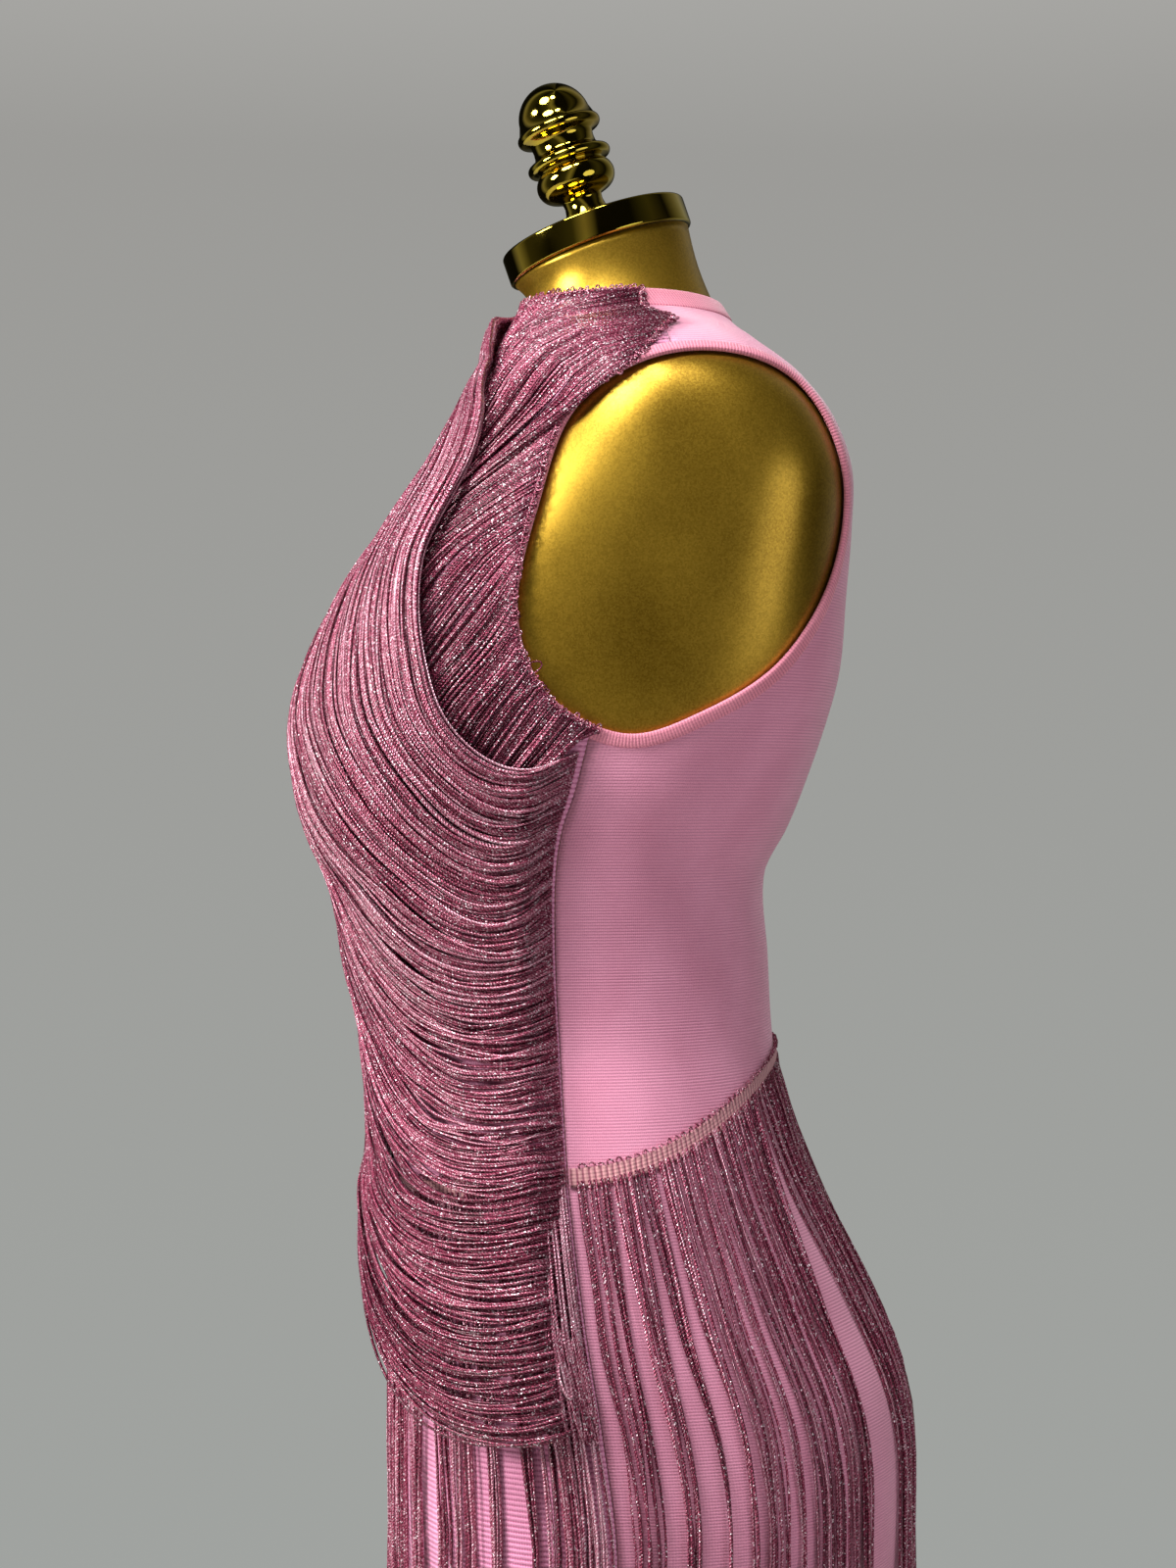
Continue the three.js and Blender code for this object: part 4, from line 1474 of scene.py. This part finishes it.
    def build(self, finishes: Finishes) -> tuple[Piece, Piece, Piece]:
        """Makes and dresses the tape, its loops and its fringe.

        Args:
            finishes: the materials.

        Returns:
            The tape, the loops and the fringe.
        """
        where = self.half.name.lower()
        rng = np.random.default_rng(self.seed + 1)
        tape = self.heading()
        dress_piece(tape, finishes.tape)
        points, outward = self.loops()
        sizes = np.full(len(points), self.loop_radius)
        tones = rng.uniform(*self.loop_tones, len(points))
        loops = make_yarns(f"tape_loops_{where}", points, outward, sizes, tones)
        dress_piece(loops, finishes.yarn)
        points, outward = self.paths()
        radii = self.radius * rng.uniform(*YARN_SIZES, self.yarns)
        tones = rng.uniform(*self.tones, self.yarns)
        fringe = make_yarns(f"skirt_fringe_yarns_{where}", points, outward, radii, tones)
        dress_piece(fringe, finishes.yarn, (f"skirt_fringe_{where}",))
        return tape, loops, fringe


@dataclass
class SeamStrands:
    """Strands that hang over the gathered ends of the drapes beside each side seam, with loops left by the ends."""

    count: int = 26
    steps: int = 30
    first_turn: float = 0.2
    last_turn: float = 8.5
    top: float = 1012
    hang: float = 848
    end: float = 508
    radius: float = 0.78
    near: float = 3.4
    out: float = 12.0
    swag_turn: float = 7.0  # how far from the seam the swags have their full depth
    loops: int = 22
    loop_top: float = 938
    loop_low: float = 902
    tones: tuple = (0.15, 0.75)
    swag_low: float = 880  # the swags' full depth starts between these heights
    swag_high: float = 912
    seed: int = 41

    def depth(self, turn: Array, height: Array) -> Array:
        """Finds how far out the gathered ends of the drapes hold a strand."""
        swags = smooth_step(height, self.swag_low, self.swag_high) * smooth_step(turn, -1.0, self.swag_turn)
        return self.near + (self.out - self.near) * swags

    def hanging(self, rng: np.random.Generator) -> tuple[Array, Array, Array]:
        """Lays the long strands.

        Args:
            rng: the source of small differences.

        Returns:
            Their turns, heights and distances out.
        """
        turn = np.sort(rng.uniform(self.first_turn, self.last_turn, self.count))[:, None]
        share = np.linspace(0, 1, self.steps)[None]
        hidden = rng.uniform(0.2, 1, (self.count, 1)) * 70 * smooth_step(turn, 0, self.last_turn)
        root = self.top + rng.uniform(-4, 4, (self.count, 1)) - hidden
        end = self.end + rng.normal(0, 7, (self.count, 1))
        height = root + (end - root) * share
        phase = rng.uniform(0, 2 * np.pi, (self.count, 1))
        sway = np.sin(2 * np.pi * share * 3 + phase) * smooth_step(share, 0.02, 0.2)
        turns = turn + 0.3 * sway + rng.normal(0, 0.5, (self.count, 1)) * share
        lift = rng.uniform(0, 1.6, (self.count, 1)) * smooth_step(share, 0, 0.06)
        rise = lift - 2.5 * (1 - smooth_step(share, 0, 0.05))
        return turns, height, self.depth(turns, height) + rise

    def looped(self, rng: np.random.Generator) -> tuple[Array, Array, Array]:
        """Lays the loops.

        Args:
            rng: the source of small differences.

        Returns:
            Their turns, heights and distances out.
        """
        angles = np.linspace(0, 2 * np.pi, self.steps)[None]
        centre = rng.uniform(0.6, 5.0, (self.loops, 1))
        top = self.loop_top + rng.uniform(-12, 14, (self.loops, 1))
        low = self.loop_low + rng.uniform(-6, 16, (self.loops, 1))
        height = (top + low) / 2 + (top - low) / 2 * np.cos(angles)
        turns = centre + rng.uniform(0.3, 0.9, (self.loops, 1)) * np.sin(angles) + 0.5 * np.cos(angles)
        out = self.depth(turns, height) + 1.2 + rng.uniform(0, 1.6, (self.loops, 1)) * np.sin(angles / 2)
        return turns, height, out

    def build(self, side: Side, finishes: Finishes) -> Piece:
        """Makes and dresses one side's strands.

        Args:
            side: the side that they are on.
            finishes: the materials.

        Returns:
            The strands.
        """
        rng = np.random.default_rng(self.seed + side.value)
        parts = zip(self.hanging(rng), self.looped(rng))
        turns, height, out = (np.concatenate(pair) for pair in parts)
        at = np.maximum(height, self.hang)
        points = BODY.offset(turns, at, out)
        points[..., 2] += height - at
        outward = BODY.normal(turns, at) * side.mirror
        sizes = np.full(len(turns), self.radius)
        tones = rng.uniform(*self.tones, len(turns))
        piece = make_yarns(f"seam_strands_{side.name.lower()}", points * side.mirror, outward, sizes, tones)
        dress_piece(piece, finishes.yarn)
        return piece


@dataclass
class DressForm:
    """The limbless torso, its neck cap and its turned finial."""

    knit: float = 2
    gap: float = 0.85
    bottom: float = 762
    bottom_inset: float = 9
    bottom_depth: float = 7
    neck_from: float = 1433
    neck_lean: float = 19
    neck_y: float = -3
    neck_height: float = 1459
    neck_radius: float = 46.5
    cap_radius: float = 48.5
    cap_tall: float = 15
    stem_y: float = -11.8
    stem_height: float = 1485

    def torso(self) -> Piece:
        """Makes the torso with its leaning neck and rounded bottom."""
        turns = np.linspace(0, 360, 180, endpoint=False)
        levels = np.concatenate([np.arange(self.bottom, self.neck_from, 5.0), [self.neck_from]])
        turn, height = np.meshgrid(turns, levels)
        rings = BODY.offset(turn, height, np.full(turn.shape, -self.knit - self.gap))
        level = rings[0] * np.array([1, 1, 0])
        angles = np.radians(np.linspace(90, 15, 6))[:, None, None]
        sole = rings[0] - unit(level) * self.bottom_inset * (1 - np.cos(np.radians(90) - angles))
        sole = sole - UP * self.bottom_depth * np.cos(angles)
        sole = sole[::-1]
        tilt = math.radians(self.neck_lean)
        around = np.radians(turns)
        forward = -np.sin(around)
        ring = np.stack([np.cos(around), forward * math.cos(tilt), forward * math.sin(tilt)], axis=-1)
        top = ring * self.neck_radius + np.array([0, self.neck_y, self.neck_height])
        share = np.linspace(0, 1, 9)[1:, None, None]
        waist = 1.6 * np.sin(np.pi * share)
        neck = rings[-1] + (top - rings[-1]) * share - ring * waist
        rows = np.concatenate([sole[:-1], rings, neck])
        lengths = run_lengths(rows[:, 0])
        places = np.stack(np.broadcast_arrays(np.linspace(0, 0.9, 181)[None], lengths[:, None] * MM), axis=-1)
        piece = make_grid("painted_torso", rows[:, ::-1], places[:, ::-1], round_columns=True)
        return self.close_ends(piece, len(rows), 180)

    def close_ends(self, piece: Piece, rows: int, columns: int) -> Piece:
        """Closes the neck and the bottom with a flat face each.

        Args:
            piece: the open torso.
            rows: how many rings it has.
            columns: how many points a ring has.

        Returns:
            The closed torso, as a new object of the same name.
        """
        points = np.array([v.co for v in piece.data.vertices]) / MM
        faces = [list(face.vertices) for face in piece.data.polygons]
        first = list(range(columns))
        last = [(rows - 1) * columns + k for k in first]
        name = piece.name
        bpy.data.objects.remove(piece)
        return make_object(name, points, [*faces, first[::-1], last])

    def cap(self) -> Piece:
        """Makes the polished disc on the neck."""
        edge = 1.5
        radius = self.cap_radius - edge
        low = 0.3
        profile = [(0.01, low), (radius, low)]
        profile += arc(radius, low + edge, edge, -90, 0, 6)
        profile += [(self.cap_radius, self.cap_tall * 0.5)]
        profile += arc(radius, self.cap_tall - edge, edge, 0, 90, 6)
        profile += [(radius - 4, self.cap_tall + 0.4), (20, self.cap_tall + 2.4), (0.01, self.cap_tall + 3)]
        place = (self.neck_y, self.neck_height)
        return make_lathe("polished_neck_cap", profile, 128, self.neck_lean, place)

    def finial(self) -> Piece:
        """Makes the turned finial: stem, bulb, two rings and a dome."""
        profile = [(0.01, -9), (13.5, -9), (12.5, -6), (10.5, -2), (10, 1), (10.4, 4)]
        profile += arc(12.3, 13.5, 8.2, -68, 62, 16)
        profile += [(17.0, 21.2)]
        profile += arc(19.2, 24, 2.7, -70, 70, 8)
        profile += [(17.2, 27.6), (16.2, 30), (16, 33), (16.4, 36)]
        profile += arc(18.8, 40.2, 3.1, -62, 62, 8)
        profile += arc(0, 46, 18.6, 6, 89.9, 18)
        place = (self.stem_y, self.stem_height)
        return make_lathe("turned_finial", profile, 96, self.neck_lean, place)

    def build(self, finishes: Finishes) -> None:
        """Makes and dresses the form.

        Args:
            finishes: the materials.
        """
        dress_piece(self.torso(), finishes.paint, ("form_torso",))
        dress_piece(self.cap(), finishes.chrome, ("form_neck_cap",))
        dress_piece(self.finial(), finishes.chrome, ("form_finial",))


@dataclass
class Stand:
    """The socket under the torso, the pole and the round weighted base."""

    pole: float = 12.5
    base: float = 165
    hub: float = 22
    hub_top: float = 42
    socket_top: float = 754.7
    socket_tall: float = 26
    socket_radius: float = 34

    def build(self, finishes: Finishes) -> None:
        """Makes and dresses the stand.

        Args:
            finishes: the materials.
        """
        base = [(0.01, 0), (self.base - 2, 0), *arc(self.base - 2, 2, 2, -90, 0, 5)]
        base += [*arc(self.base - 4, 7, 4, 0, 80, 6), (self.hub + 30, 18), (self.hub + 10, 22.5)]
        base += [(self.hub + 4, 25), (self.hub + 1, 28), (self.hub, 31)]
        base += [*arc(self.hub - 1.5, self.hub_top - 1.5, 1.5, 0, 90, 5), (self.pole + 0.3, self.hub_top)]
        low = self.socket_top - self.socket_tall
        socket = [(self.pole + 0.3, low), (self.pole + 6, low), (self.pole + 7, low + 1)]
        socket += [(self.pole + 9, self.socket_top - 6), (self.socket_radius - 1, self.socket_top - 5.5)]
        socket += [(self.socket_radius, self.socket_top - 4.5), (self.socket_radius, self.socket_top)]
        socket += [(self.pole + 0.3, self.socket_top)]
        pole = [(0.01, 12.5), (self.pole, 12.5), (self.pole, 380), (self.pole, 754), (0.01, 754)]
        for name, profile in (("base", base), ("socket", socket), ("pole", pole)):
            piece = make_lathe(f"{name}_of_stand", profile, 128, 0, (0, 0))
            dress_piece(piece, finishes.stand, (f"stand_{name}",))


@dataclass
class Studio:
    """The camera, the floor and the soft lights."""

    distance: float = 1300
    camera_y: float = -10
    camera_z: float = 1190
    lens: float = 58.5
    floor_radius: float = 2300
    ambient: float = 0.5
    aim: tuple = (0, 0, 1.2)  # what the lights face, in metres
    film: float = 36

    def area_light(
        self,
        name: str,
        place: tuple,
        size: float,
        power: float,
        colour: str,
        mirrored: bool,
    ) -> None:
        """Adds one soft light that faces the dress.

        Args:
            name: its name.
            place: where it hangs, in metres.
            size: the width of its disc, in metres.
            power: its power in watts.
            colour: its sRGB hex colour.
            mirrored: whether polished metal reflects it.
        """
        data = bpy.data.lights.new(name, "AREA")
        data.shape = "DISK"
        data.size = size
        data.energy = power
        data.color = linear(colour)[:3]
        light = bpy.data.objects.new(name, data)
        light.location = place
        light.visible_glossy = mirrored
        light.rotation_euler = (Vector(self.aim) - Vector(place)).to_track_quat("-Z", "Y").to_euler()
        bpy.context.scene.collection.objects.link(light)

    def surround(self) -> None:
        """Sets a pale surround, and bands of light and dark round the room that only polished parts reflect."""
        world = bpy.data.worlds.new("pale_surround")
        bpy.context.scene.world = world
        world.use_nodes = True
        tree = world.node_tree
        ground = tree.nodes["Background"]
        place = add_node(tree, "ShaderNodeTexCoord").outputs["Generated"]
        parts = add_node(tree, "ShaderNodeSeparateXYZ", None, None, {"Vector": place})
        level = add_range(tree, parts.outputs["Z"], 0, 1, -1, 1)
        stops = [(0.0, "#2E2E2C"), (0.25, "#4A4A48"), (0.33, "#A1A4A1"), (0.62, "#9C9B98"), (0.8, "#D8D8D4")]
        plain = add_ramp(tree, level, stops)
        rays = add_node(tree, "ShaderNodeLightPath")
        round_about = add_node(tree, "ShaderNodeTexGradient", {"gradient_type": "RADIAL"}, None, {"Vector": place})
        dark, dim, pale = "#1C1C15", "#5C5C50", "#D0D0C0"
        bands = [(0.0, dim), (0.06, dark), (0.15, dark), (0.19, pale), (0.24, dim), (0.33, dark), (0.42, dim)]
        bands += [(0.46, pale), (0.5, dark), (0.62, dark), (0.7, dim), (0.78, dark), (0.9, pale), (0.97, dark)]
        room = add_ramp(tree, round_about.outputs["Fac"], bands)
        mirrored = add_mix(tree, {0: rays.outputs["Is Glossy Ray"], 6: plain, 7: room})
        tree.links.new(mirrored, ground.inputs["Color"])
        power = add_range(tree, rays.outputs["Is Camera Ray"], self.ambient, 1)
        tree.links.new(power, ground.inputs["Strength"])

    def build(self, finishes: Finishes) -> None:
        """Makes the floor, the lights and the camera.

        Args:
            finishes: the materials.
        """
        bpy.context.scene.view_settings.view_transform = "Standard"
        floor = make_lathe("floor", [(0.01, -0.2), (self.floor_radius, -0.2)], 96, 0, (0, 0))
        floor.data.materials.append(finishes.floor)
        self.surround()
        self.area_light("key", (0.95, -2.3, 2.0), 0.9, 78, "#FFFDF8", True)
        self.area_light("front", (-1.1, -2.0, 1.8), 0.8, 50, "#FFFFFF", False)
        self.area_light("top", (0.9, -0.9, 2.9), 0.8, 40, "#FFFFFF", True)
        self.area_light("shoulder", (0.8, -0.2, 3.0), 0.3, 11, "#FFFFFF", True)
        self.area_light("fill", (1.6, 1.6, 1.1), 1.4, 9, "#F6F8FF", True)
        self.area_light("back", (-1.9, 0.4, 2.0), 1.4, 18, "#FFFFFF", False)
        data = bpy.data.cameras.new("camera")
        data.lens = self.lens
        data.sensor_width = self.film
        camera = bpy.data.objects.new("camera", data)
        camera.location = (self.distance * MM, self.camera_y * MM, self.camera_z * MM)
        camera.rotation_euler = (math.pi / 2, 0, math.pi / 2)
        bpy.context.scene.collection.objects.link(camera)
        bpy.context.scene.camera = camera


@dataclass
class Cut:
    """The flat sizes of the cloth, in metres, before it was sewn and stretched over the form."""

    front: tuple = (0.42, 0.93)
    front_area: float = 0.33
    back: tuple = (0.42, 0.93)
    back_area: float = 0.33
    band: tuple = (0.33, 0.016)
    binding: tuple = (0.44, 0.012)
    tape: tuple = (0.42, 0.010)
    tape_area: float = 0.0036


def main() -> None:
    logging.basicConfig(level=logging.INFO, format="%(message)s")
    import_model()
    finishes = Finishes()
    Studio().build(finishes)
    DressForm().build(finishes)
    Stand().build(finishes)
    panels = KnitPanels().build(finishes)
    edges = KnitEdges().build(finishes)
    # Painted light: the under drape's yarns keep low tones, painted as in shade, and the over drape's higher tones
    # paint it as lit.
    under = Drape("under_drape_yarns", "drape_under", Side.LEFT, 3.2, 3.0, 5).build(finishes)
    over = Drape(
        "over_drape_yarns",
        "drape_over",
        Side.RIGHT,
        10.2,
        3.4,
        7,
        radius=0.82,
        fall=(1, 1.2, 2.3, 2.6, 2.0),
        sag=(37, 26, 12, 11, 17),
        hold=(1, 1),
        wander=0.0045,
        slits=(Slit(0.54, 0.8, 0.07, 0.009), Slit(0.63, 0.74, 0.05, 0.007), Slit(0.47, 0.84, 0.05, 0.005)),
        tones=(0.15, 0.78),
        # painted shade on the lowest yarns
        painted_shade_low=0.6,
    ).build(finishes)
    headings = [piece for side in Side for piece in DrapeHeading().build(side, finishes)]
    strands = [SeamStrands().build(side, finishes) for side in Side]
    for half, seed in ((Half.FRONT, 11), (Half.BACK, 23)):
        tape, loops, fringe = SkirtFringe(half, seed).build(finishes)


if __name__ == "__main__":
    main()
